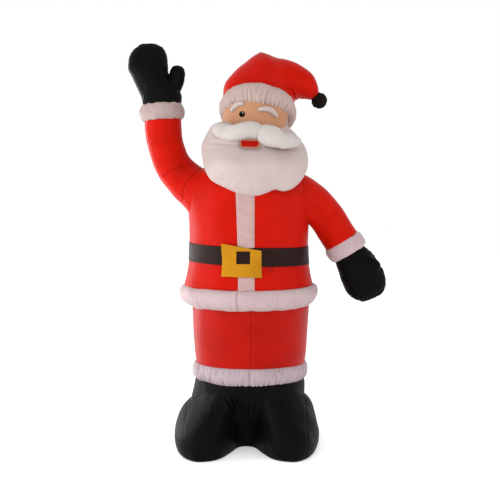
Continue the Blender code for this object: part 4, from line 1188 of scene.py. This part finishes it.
def mitten(name, start, wrist_way, turn, palm, tip, thumb, thumb_radius, seed, notch=None):
    """A padded hand of two panels: palm and thumb melted into one skin, then seamed and puckered."""
    sine, cosine = math.sin(turn), math.cos(turn)
    out, forth, rise = wrist_way
    way = np.array((out * cosine + rise * sine, forth, rise * cosine - out * sine))
    across = unit(OUT - way * (OUT @ way))
    ahead = np.cross(across, way)
    ahead = ahead if ahead[1] < 0 else -ahead
    at = np.linspace(0.0, 1.0, 70)
    stations = curve(np.array(palm), at)
    tip_share = np.linspace(0.0, 1.0, 8)[1:-1]
    last = stations[-1]
    tip_sizes = np.sqrt(1.0 - tip_share**2)
    tip_reach = last[0] + (tip - last[0]) * tip_share
    tip_rows = np.column_stack([tip_reach, np.full(6, last[1]), last[2] * tip_sizes, last[3] * tip_sizes])
    inside = np.array([[-0.03, palm[0][1], palm[0][2] * 0.9, palm[0][3] * 0.9]])
    stations = np.concatenate([inside, stations, tip_rows])
    centres = start + way * stations[:, :1] + across * stations[:, 1:2]
    hand = rings(centres, across * stations[:, 2:3], ahead * stations[:, 3:4], 72)
    thumb_keys = np.array([start + way * r + across * s + ahead * f for r, s, f in thumb])
    share = np.linspace(0.0, 0.98, 30)
    path = curve(thumb_keys, share)
    sizes = thumb_radius * np.sqrt(1.0 - (positive(share - 0.7) / 0.3) ** 2)
    _, side, front = tube_axes(path)
    finger = rings(path, side * sizes[:, None], front * sizes[:, None], 40)
    piece = plain_mesh([hand, finger])
    remesh = piece.modifiers.new("melt", "REMESH")
    remesh.mode = "VOXEL"
    remesh.voxel_size = 0.0050
    smooth = piece.modifiers.new("soften", "SMOOTH")
    smooth.factor = 0.5
    smooth.iterations = 8
    mesh = evaluated_mesh(piece)
    piece.name = mesh.name = "mitten_" + name + "_cloth"
    points = read_vectors(mesh.vertices, len(mesh.vertices), "co")
    normals = read_vectors(mesh.vertex_normals, len(mesh.vertices), "vector")
    local = points - start
    reach, shift, forward = local @ way, local @ across, local @ ahead
    middle = np.array((tip * 0.5, palm[3][1]))
    turn_round = np.arctan2(shift - middle[1], reach - middle[0])
    field = MITTEN_FILL + 0.0016 * swells(points, 0.09, seed)
    edge = np.abs(forward)
    flat_side = np.abs(normals @ ahead)
    on_edge = 1.0 - ease((flat_side - 0.55) / 0.3)
    field += groove(forward, 0.0045, 0.0015) * on_edge
    field += gathers(turn_round * 0.13, edge, TAU * 0.13, seed + 1, PUCKERS["mitten short"])
    field += gathers(turn_round * 0.13, edge, TAU * 0.13, seed + 2, PUCKERS["mitten long"])
    wrist_turn = np.arctan2(forward, shift) * 0.1
    field += gathers(wrist_turn, positive(reach), TAU * 0.1, seed + 3, PUCKERS["mitten wrist"])
    if notch is not None:
        field -= 0.007 * np.exp(-(((points[:, [0, 2]] - notch) / 0.009) ** 2).sum(axis=1))
    moved = points + normals * field[:, None]
    mesh.vertices.foreach_set("co", moved.ravel())
    paint_fold_shade(mesh, painted_fold_shade(field - MITTEN_FILL))
    flat = mesh.uv_layers.new(name="cloth")
    corner = np.zeros(len(mesh.loops), int)
    mesh.loops.foreach_get("vertex_index", corner)
    laid = np.column_stack([shift, reach])[corner].astype(np.float32)
    flat.data.foreach_set("uv", laid.ravel())
    mesh.shade_smooth()
    mesh.update()
    finish_piece(piece, "black", ("mitten_" + name,))


def arms():
    sleeves()
    # The raised cuff's white is darkened as painted shade
    wrist_end = cuff("raised", RAISED_CUFF_LENGTH, CUFF_RADIUS, "painted shade cuff white", 500)
    mitten("raised", *wrist_end, 0.0, RAISED_PALM, RAISED_TIP, RAISED_THUMB, RAISED_THUMB_RADIUS, 600)
    wrist_end = cuff("lowered", LOWERED_CUFF_LENGTH, LOWERED_CUFF_RADIUS, "white", 520)
    thumb = (LOWERED_THUMB, LOWERED_THUMB_RADIUS)
    mitten("lowered", *wrist_end, LOWERED_HAND_TURN, LOWERED_PALM, LOWERED_TIP, *thumb, 640, THUMB_NOTCH)


def boots():
    """The black foot, two boots in one, on its flat sole."""
    half = [(x * BOOT_HALF_WIDTH, -y * TOE_REACH) for x, y in SOLE_OUTLINE]
    mirrored = [(-x, y) for x, y in reversed(half)]
    dense = loop_curve(half + mirrored, 2000)
    outline = evenly(np.concatenate([dense, dense[:1]]), 0.0070)[:-1]
    toe = np.linalg.norm(outline, axis=1)
    across, ahead = outline[:, 0] / toe, outline[:, 1] / toe
    shaft = ANKLE_RADIUS / np.hypot(across, ahead / BODY_DEPTH)
    facing = positive(-ahead)
    shoulder = BOOT_SHOULDER + BOOT_SHOULDER_TILT * across
    shoulder += (BOOT_FRONT_SHOULDER - BOOT_SHOULDER) * ease(facing)
    smooth = ease(facing / 0.8)
    softened = smoothed(toe, 4, 60)
    fall = shoulder - BOOT_WIDEST
    wider = shaft + SHAFT_FLARE
    rows = []
    for share in np.linspace(0.0, 1.0, 24)[:-1]:
        height = BOOTS_TOP + 0.05 + (shoulder - BOOTS_TOP - 0.05) * share
        rows.append((shaft - 0.006 + (SHAFT_FLARE + 0.006) * share, height))
    for turn in np.linspace(0.0, math.pi / 2, 57):
        drop = 1.0 - math.cos(turn)
        side_top = math.sin(turn) ** 1.35
        reach = side_top * (1.0 - smooth) + ease(drop) ** 0.8 * smooth
        here = softened + (toe - softened) * ease(drop * 1.15)
        rows.append((wider + (here - wider) * reach, BOOT_WIDEST + fall * max(0.0, math.cos(turn))))
    for turn in np.linspace(0.0, math.pi / 2, 22)[1:]:
        rows.append((toe - SOLE_INSET * (1.0 - math.cos(turn)), BOOT_WIDEST * (1.0 - math.sin(turn))))
    for share in (0.97, 0.85, 0.6, 0.3, 0.05):
        rows.append(((toe - SOLE_INSET) * share, 0.0))
    grid = []
    for radius, height in rows:
        shift = BOOT_SHIFT * ease(1.8 * (1.0 - np.minimum(1.0, height / BOOTS_TOP)))
        height = height + np.zeros(len(toe))
        grid.append(np.stack([across * radius + shift, ahead * radius, height], axis=-1))
    grid = np.array(grid)
    field = BOOT_FILL + 0.003 * swells(grid, 0.24, 700) + 0.0008 * swells(grid, 0.08, 701)
    around = turn_of(grid) * ANKLE_RADIUS
    span = TAU * ANKLE_RADIUS
    below = positive(BOOTS_TOP - 0.01 - grid[..., 2])
    field += gathers(around, below, span, 710, PUCKERS["boot ankle"])
    foot_x, foot_z = BOOT_VALLEY_FOOT
    for number, top_x in enumerate(BOOT_VALLEY):
        field += crease(grid, (top_x, BOOT_VALLEY_TOP), (foot_x + 0.005 * number, foot_z), 0.009, 0.0110)
    for settings in BOOT_CREASES:
        field += crease(grid, *settings)
    for number, (seam_x, bottom, top) in enumerate(BOOT_SEAMS):
        offset = grid[..., 0] - seam_x
        ends = ease((grid[..., 2] - bottom) / 0.04) * ease((top - grid[..., 2]) / 0.04)
        window = ends * (grid[..., 1] < 0)
        puckers = both_sides(offset, grid[..., 2], 0.4, 730 + 4 * number, PUCKERS["boot seam"])
        field += (groove(offset, 0.005, 0.003) + puckers) * window
    sole_edge = np.abs(grid[..., 2] - 0.012)
    field += gathers(around * 1.3, sole_edge, span * 1.3, 750, PUCKERS["boot sole"])
    field = field * ease(grid[..., 2] / 0.02)
    moved = push(grid, field)
    moved[..., 2] = np.maximum(moved[..., 2], 0.0)
    sew("boots_cloth", moved, "black", "boots", folds=painted_fold_shade(field - BOOT_FILL))


def rotate(vector, axis, angle):
    cosine, sine = math.cos(angle), math.sin(angle)
    return vector * cosine + np.cross(axis, vector) * sine + axis * (axis @ vector) * (1 - cosine)


def lean():
    """The head's own across, forward and up directions."""
    turned = [rotate(way, OUT, -LEAN_BACK) for way in (OUT, FORWARD, UP)]
    return [rotate(way, -FORWARD, LEAN_SIDE) for way in turned]


SIDE, AHEAD, CROWN = lean()


def on_face(across, rise, lift):
    """Points lift before the face, at those places from the head's middle."""
    across, rise = np.broadcast_arrays(np.asarray(across, float), np.asarray(rise, float))
    start = np.stack([across, np.zeros(across.shape), rise], axis=-1)
    a = b = c = 0.0
    for axis, size in zip((SIDE, AHEAD, CROWN), HEAD_SIZES):
        along = (FORWARD @ axis) / size
        offset = (start @ axis) / size
        a = a + along * along
        b = b + 2 * along * offset
        c = c + offset * offset
    reach = (-b + np.sqrt(positive(b * b - 4 * a * (c - 1.0)))) / (2 * a)
    return HEAD + start + FORWARD * (reach + lift)[..., None]


def head_grid(grow):
    top = math.asin((BAND_RISE + HAT_RISE) / HEAD_SIZES[2])
    turns = np.linspace(-math.pi / 2 + 0.02, top, 96)
    centres = HEAD + CROWN * (np.sin(turns) * (HEAD_SIZES[2] + grow))[:, None]
    wide = SIDE * (np.cos(turns) * (HEAD_SIZES[0] + grow))[:, None]
    deep = AHEAD * (np.cos(turns) * (HEAD_SIZES[1] + grow))[:, None]
    return rings(centres, wide, deep, 220)


def slice_off(piece, point, way):
    """Takes away what lies past the plane, and closes the cut."""
    builder = bmesh.new()
    builder.from_mesh(piece.data)
    geometry = builder.verts[:] + builder.edges[:] + builder.faces[:]
    cut = bmesh.ops.bisect_plane(builder, geom=geometry, plane_co=point, plane_no=way, clear_outer=True)
    edges = [item for item in cut["geom_cut"] if isinstance(item, bmesh.types.BMEdge)]
    bmesh.ops.contextual_create(builder, geom=edges)
    builder.to_mesh(piece.data)
    builder.free()


def head():
    split = HEAD + AHEAD * HAIR_SPLIT
    way = rotate(AHEAD, CROWN, -HAIR_SPLIT_TURN)
    grid = head_grid(0.0)
    distance = (grid - split) @ way
    field = 0.0012 * swells(grid, 0.12, 800)
    face = sew("face_cloth", push(grid, field), "skin", "face")
    slice_off(face, split - way * 0.004, -way)
    grid = head_grid(-0.004)
    field = 0.003 * swells(grid, 0.13, 801) + groove(distance, 0.012, 0.002)
    around = np.arctan2((grid - HEAD) @ AHEAD, (grid - HEAD) @ SIDE) * 0.22
    under_band = positive((BAND_RISE - BAND_HALF_HEIGHT) - (grid - HEAD) @ CROWN)
    field += gathers(around, under_band, TAU * 0.22, 810, PUCKERS["hair"])
    field -= 0.014 * np.clip((grid - HEAD) @ SIDE / HEAD_SIZES[0], 0.0, 1.0) ** 2
    # The hair's white carries painted warm light
    hair = sew("hair_cloth", push(grid, field), "painted warm light white", "hair", folds=painted_fold_shade(field))
    slice_off(hair, split, way)


def band():
    """The padded white ring of the hat, strongly gathered."""
    columns, rows = 460, 72
    turns = turns_round(rows)
    around = turns_round(columns)
    rise = BAND_HALF_HEIGHT * np.sin(turns)
    side = BAND_RADIUS + BAND_HALF_THICKNESS * np.cos(turns)
    deep = side * HEAD_SIZES[1] / HEAD_SIZES[0] * BAND_DEPTH_SHARE
    centres = HEAD + CROWN * BAND_RISE + CROWN * rise[:, None]
    grid = rings(centres, SIDE * side[:, None], AHEAD * deep[:, None], columns)
    front = positive(np.sin(around))
    grid = grid - CROWN * (0.015 * front * (turns[:, None] > math.pi))[..., None]
    length = around[None, :] * BAND_GATHER_RADIUS + 0 * turns[:, None]
    span = TAU * BAND_GATHER_RADIUS
    to_low = spread(np.abs(centred(turns + math.pi / 2)) * BAND_TUBE_RADIUS, columns)
    to_high = spread(np.abs(centred(turns - math.pi / 2)) * BAND_TUBE_RADIUS, columns)
    field = 0.0018 * swells(grid, 0.11, 820)
    field += gathers(length, to_low, span, 821, PUCKERS["band low"])
    field += gathers(length, to_high, span, 822, PUCKERS["band high"])
    field += gathers(length, to_low, span, 823, PUCKERS["band long"])
    wander = 1.5 * swells(grid * (1, 1, 0), 0.16, 824)
    ribs = np.sin(length * (TAU / BAND_RIB_SPACING) + wander)
    field += BAND_RIB_DEPTH * ribs * bell(to_low / 0.105)
    field = field * (np.cos(turns)[:, None] > -0.3)
    field -= 0.013 * positive(np.cos(around)) ** 3 * positive(-np.sin(turns))[:, None]
    painted_shade = painted_fold_shade(field, 0.009)
    # The band's white carries painted warm light
    sew("hat_band_cloth", push(grid, field, True), "painted warm light white", "hat_band", closed=True, folds=painted_shade)


def hat_line(count):
    """Middles, half axes and rows of the bent hat from the brim to its tip."""
    brim = HEAD + CROWN * (BAND_RISE + HAT_RISE)
    share = np.linspace(0.0, 1.0, count)
    values = curve(np.array(HAT_SECTIONS)[:, :5] * HAT_RADIUS, share)
    turn = np.radians(curve(np.array(HAT_SECTIONS)[:, 5], share))
    middles = brim + OUT * values[:, :1] - FORWARD * values[:, 1:2] + UP * values[:, 2:3]
    side = np.column_stack([np.cos(turn), np.zeros(count), -np.sin(turn)])
    fade = positive(1.0 - share * 2.2)[:, None]
    tilted = unit(AHEAD * fade + FORWARD * (1.0 - fade))
    return brim, middles, side, tilted, values, turn


def hat():
    """The red hat, a tube bent over to +X that narrows to its tip."""
    brim, middles, side, tilted, values, turn = hat_line(150)
    wide = side * values[:, 3:4]
    deep = tilted * values[:, 4:5]
    body = rings(middles, wide, deep, HAT_COLUMNS)
    depth_share = HEAD_SIZES[1] / HEAD_SIZES[0] * 0.92
    base = rings(
        np.array([brim - CROWN * 0.02, brim]),
        np.array([SIDE, SIDE]) * (HAT_RADIUS * 0.93),
        np.array([AHEAD, AHEAD]) * (HAT_RADIUS * depth_share * 0.96),
        HAT_COLUMNS,
    )
    tip_way = np.array((math.sin(turn[-1]), 0.0, math.cos(turn[-1])))
    tip_reach = tip_way * values[-1, 3] * 0.5
    tip = cap(middles[-1], tip_reach, wide[-1], deep[-1], (0.35, 0.65, 0.85, 0.96), HAT_COLUMNS)
    between = [base[1] + (body[0] - base[1]) * share for share in (0.25, 0.5, 0.75)]
    grid = np.concatenate([base, np.array(between), body, tip])
    along = length_along(grid)
    turns = turns_round(HAT_COLUMNS) + 0 * along
    size = row_radius(grid)
    field = 0.0022 * swells(grid, 0.22, 840)
    from_band = positive(along - 0.055)
    field += gathers(turns * 0.21, from_band, TAU * 0.21, 841, PUCKERS["hat brim"])
    puckers = gathers(turns * 0.06, along.max() - along, TAU * 0.06, 842, PUCKERS["hat tip"])
    field += puckers * np.minimum(1.0, size / 0.05)
    inner_bend = np.abs(centred(turns)) * size
    bend = bell((along - 0.24) / 0.11)
    field += bend * gathers(along, inner_bend, along.max(), 843, PUCKERS["hat bend"])
    field += groove(centred(turns + math.pi / 2) * size, 0.005, 0.0020)
    normal = outward(grid)[0]
    for x, z, reach, lift, facing in HAT_BUMPS:
        distance = ((grid[..., 0] - x) ** 2 + (grid[..., 2] - z) ** 2) / reach**2
        field += lift * np.exp(-distance) * np.clip(normal @ np.array(facing), 0.0, 1.0)
    from_peak = np.hypot(grid[..., 0] - 0.062, 0.6 * (grid[..., 1] - 0.03))
    grid[..., 2] += HAT_PEAK * np.exp(-from_peak / 0.028) * np.clip(normal[..., 2], 0.0, 1.0)
    sew("hat_cloth", push(grid, field), "red", "hat", folds=painted_fold_shade(field, 0.009))
    pompom(middles[-1] + tip_way * (POMPOM_RADIUS - 0.012))


def pompom(centre):
    """A small stuffed ball of black fleece."""
    turns = np.linspace(-math.pi / 2 + 0.03, math.pi / 2 - 0.03, 60)
    centres = centre + UP * (np.sin(turns) * POMPOM_RADIUS)[:, None]
    wide = OUT * (np.cos(turns) * POMPOM_RADIUS)[:, None]
    deep = FORWARD * (np.cos(turns) * POMPOM_RADIUS)[:, None]
    grid = rings(centres, wide, deep, 120)
    field = 0.0016 * swells(grid, 0.020, 850) + 0.0010 * swells(grid, 0.008, 851)
    piece = sew("pompom_cloth", push(grid, field), "fleece", "pompom", folds=painted_fold_shade(field, 0.004))


def mouth_opening(turn, grow):
    """The rounded box of the opening, as (across, up) from its middle."""
    places = []
    for half, part in zip(MOUTH_OPENING, (np.cos(turn), np.sin(turn))):
        places.append((half + grow) * np.sign(part) * np.abs(part) ** 0.6)
    return np.column_stack(places)


def beard():
    """A white pillow before the face and chest, sewn down round the mouth and along its edge."""
    middle = np.array((BEARD_SHIFT - HEAD[0], 0.0, -BEARD_DROP))
    flat = loop_curve([(x, 0.0, y) for x, y in BEARD_OUTLINE], 1500)
    flat = evenly(np.concatenate([flat, flat[:1]]), 1.0 / 2000)
    pick = np.linspace(0, len(flat) - 1, BEARD_COLUMNS, endpoint=False).astype(int)
    outline = middle + flat[pick]
    turn = np.arctan2(outline[:, 2] - MOUTH[2], outline[:, 0] - MOUTH[0])
    opening = mouth_opening(turn, 0.0)
    rim = MOUTH + np.column_stack([opening[:, 0], np.zeros(BEARD_COLUMNS), opening[:, 1]])
    low_end = outline[:, 2].min()
    softened = smoothed(outline, 6, 60)

    def place(share):
        edge = softened + (outline - softened) * share**5
        return rim + (edge - rim) * share

    def depth(points, share, front):
        low_share = ease((middle[2] + 0.1 - points[:, 2]) / (middle[2] + 0.1 - low_end))
        edge = BEARD_CHEEK_EDGE + (BEARD_CHIN_EDGE - BEARD_CHEEK_EDGE) * low_share
        swell = math.sqrt(max(0.0, 1.0 - share**BEARD_ROUNDNESS))
        if not front:
            return edge - BEARD_BACK * swell
        full = ease((-points[:, 2] - BEARD_LIP_DROP) / (BEARD_FULL_DROP - BEARD_LIP_DROP))
        reach = BEARD_LIP + (BEARD_FRONT - BEARD_LIP) * full
        dip = positive(reach - MOUTH_RIM) * math.exp(-((share / MOUTH_DIP_SHARE) ** 2))
        return edge + (reach - edge) * swell - dip

    near_edge = 1.0 - (1.0 - np.linspace(0.0, 1.0, 26)[1:]) ** 2 * 0.1
    fronts = np.concatenate([np.linspace(0.0, 0.9, 84), near_edge])
    rows, shares = [], []
    for back in (0.10, 0.03):
        rows.append(HEAD + rim + FORWARD * (MOUTH_RIM - back))
        shares.append(0.0)
    for share in fronts:
        points = place(share)
        rows.append(HEAD + points + FORWARD * depth(points, share, True)[:, None])
        shares.append(share)
    for share in (0.97, 0.9, 0.8):
        points = place(share)
        rows.append(HEAD + points + FORWARD * depth(points, share, False)[:, None])
        shares.append(2.0)
    grid = np.array(rows)
    shares = np.array(shares)[:, None]
    reach = np.linalg.norm(outline - rim, axis=1)[None, :]
    steps = np.linalg.norm(np.roll(outline, -1, axis=0) - outline, axis=1)
    along = np.cumsum(steps)[None, :] + 0 * shares
    span = steps.sum()
    to_edge = positive(1.0 - shares) * reach
    from_mouth = np.clip(shares, 0.0, 1.0) * reach
    live = (shares <= 1.0) * ease(from_mouth / 0.02)
    held = ease((1.0 - np.minimum(shares, 1.0)) * reach / 0.008 + 0.25)
    field = 0.0022 * swells(grid, 0.20, 860) * held
    leftward = bell((outline[None, :, 0] + 0.14) / 0.15)
    low_left = leftward * ease((-0.22 - outline[None, :, 2]) / 0.06)
    strength = 0.18 + 1.25 * low_left
    field += gathers(along, to_edge, span, 861, PUCKERS["beard short"]) * held * strength
    field += gathers(along, to_edge, span, 862, PUCKERS["beard long"]) * held * strength
    field += gathers(turn[None, :] * 0.06, from_mouth, TAU * 0.06, 863, PUCKERS["beard mouth"])
    field = field * live
    for start, end, deep in BEARD_CREASES:
        field += crease(grid, HEAD[[0, 2]] + start, HEAD[[0, 2]] + end, 0.015, deep) * live
    sew("beard_cloth", push(grid, field), "beard", "beard", folds=painted_fold_shade(field, 0.009))


def moustache(name, stations, seed):
    """A stuffed plush roll from the parting to its tip, with a sewn rim."""
    across, rise, forward, halves = np.array(stations).T
    ahead = forward - MOUSTACHE_SET_BACK
    keys = HEAD + OUT * across[:, None] + UP * rise[:, None] + FORWARD * ahead[:, None]
    at = np.linspace(0.0, 1.0, 96)
    path = curve(keys, at)
    sizes = curve(halves, at)
    thick = halves.max() * MOUSTACHE_THICKNESS_SHARE * (sizes / halves.max()) ** 0.8
    way, side, front = tube_axes(path)
    wide = side * sizes[:, None]
    deep = front * thick[:, None]
    body = rings(path, wide, deep, MOUSTACHE_COLUMNS)
    ends = []
    for end, sign, reach in ((0, -1, halves[0] * 0.15), (-1, 1, halves[-1] * 0.5)):
        way_out = way[end] * sign * reach
        dome = cap(path[end], way_out, wide[end], deep[end], (0.4, 0.7, 0.9, 0.985), MOUSTACHE_COLUMNS)
        ends.append(dome[::sign])
    grid = np.concatenate([ends[0], body, ends[1]])
    along = length_along(grid)
    turns = turns_round(MOUSTACHE_COLUMNS) + 0 * along
    size = row_radius(grid)
    field = 0.0014 * swells(grid, 0.06, seed) + 0.0004 * swells(grid, 0.012, seed + 1)
    for number, seam_turn in enumerate((0.0, math.pi)):
        offset = np.abs(centred(turns - seam_turn)) * size
        field += groove(offset - 0.008, 0.0030, 0.0036)
        away = positive(offset - 0.007)
        field += gathers(along, away, along.max(), seed + 3 + number, PUCKERS["moustache"])
    piece = sew(name + "_cloth", push(grid, field), "plush", name, folds=painted_fold_shade(field, 0.006))


def eyebrow(name, stations, seed):
    places = curve(np.array(stations), np.linspace(0.0, 1.0, 60))
    path = on_face(places[:, 0], places[:, 1], EYEBROW_RADIUS * 0.35)
    share = np.linspace(0.0, 1.0, 60)
    sizes = EYEBROW_RADIUS * (0.55 + 0.45 * np.sin(math.pi * share))
    sizes = sizes * np.sqrt(1.0 - (np.abs(2 * share - 1.0) ** 12) * 0.98)
    _, side, front = tube_axes(path)
    grid = rings(path, side * sizes[:, None], front * sizes[:, None], 48)
    field = 0.0006 * swells(grid, 0.015, seed)
    piece = sew(name + "_cloth", push(grid, field), "brow", name)


def on_opening(across, rise, lift):
    """Points lift in front of the opening in the beard, in the head's frame."""
    return HEAD + OUT * across[:, None] + UP * rise[:, None] + FORWARD * (MOUTH_RIM + lift)


def patch(name, outline, dome, lift, kind, carrier=on_face, inset=-0.003):
    """A small piece on its carrier inside an outline of (across, rise) points."""
    middle = outline.mean(axis=0)
    rows = []
    for share in (0.02, 0.2, 0.4, 0.6, 0.75, 0.87, 0.95, 1.0):
        place = middle + (outline - middle) * share
        rows.append(carrier(place[:, 0], place[:, 1], lift + dome * math.sqrt(1.0 - share**2)))
    rows.append(carrier(outline[:, 0], outline[:, 1], inset))
    return sew(name, np.array(rows), kind)


def face_details():
    turns = turns_round(40)
    disc = np.column_stack([np.cos(turns), np.sin(turns)])
    patch("eye", np.array(EYE) + disc * EYE_RADIUS, 0.006, 0.0015, "eye")
    patch("eye_glint", np.array(EYE) + (0.0050, 0.0060) + disc * 0.0034, 0.0012, 0.0066, "plush")
    outline = smoothed(polygon(MOUTH_CORNERS, 14), 1, 3)
    lip = (MOUTH[0], MOUTH[2]) + mouth_opening(turns, 0.003)
    patch("lip", lip, 0.003, -0.001, "lip", on_opening, -0.030)
    patch("mouth", outline, 0.002, 0.0025, "mouth", on_opening, -0.030)


def studio():
    """A pale floor, a white room, five soft lights and the camera."""
    scene = bpy.context.scene
    scene.view_settings.view_transform = "Standard"
    world = bpy.data.worlds.new("studio")
    scene.world = world
    world.use_nodes = True
    set_inputs(world.node_tree.nodes["Background"], {"Color": (1.0, 1.0, 1.0, 1.0), "Strength": 1.0})

    floor_mesh = bpy.data.meshes.new("floor")
    corners = [(x * FLOOR_REACH, y * FLOOR_REACH, 0) for x, y in ((-1, -1), (1, -1), (1, 1), (-1, 1))]
    floor_mesh.from_pydata(corners, [], [(0, 1, 2, 3)])
    pale = bpy.data.materials.new("pale floor")
    pale.use_nodes = True
    shader = pale.node_tree.nodes["Principled BSDF"]
    set_inputs(shader, {"Base Color": (0.93, 0.93, 0.93, 1.0), "Roughness": 0.9, "Specular IOR Level": 0.1})
    set_inputs(shader, {"Emission Color": (1.0, 1.0, 1.0, 1.0), "Emission Strength": 0.3})
    floor_mesh.materials.append(pale)
    place_object("floor", floor_mesh)

    for name, place, width, height, power in LIGHTS:
        light = bpy.data.lights.new(name, "AREA")
        light.shape = "RECTANGLE"
        light.size = width
        light.size_y = height
        light.energy = power
        lamp = place_object(name, light)
        lamp.location = place
        x, y, z = np.array(LIT_POINT) - np.array(place)
        lamp.rotation_euler = (math.atan2(math.hypot(x, y), -z), 0.0, math.atan2(-x, y))

    lens = bpy.data.cameras.new("camera")
    lens.lens = CAMERA_LENS
    lens.sensor_width = CAMERA_SENSOR
    camera = place_object("camera", lens)
    camera.location = CAMERA_PLACE
    camera.rotation_euler = (math.pi / 2 - math.atan(CAMERA_FALL), 0.0, 0.0)
    scene.camera = camera


studio()
trousers()
trims()
boots()
coat()
belt()
strips()
coat_dot()
buckle()
arms()
head()
band()
hat()
beard()
moustache("moustache_left", MOUSTACHE_LEFT, 900)
moustache("moustache_right", MOUSTACHE_RIGHT, 920)
eyebrow("eyebrow_left", EYEBROW_LEFT, 940)
eyebrow("eyebrow_right", EYEBROW_RIGHT, 941)
face_details()
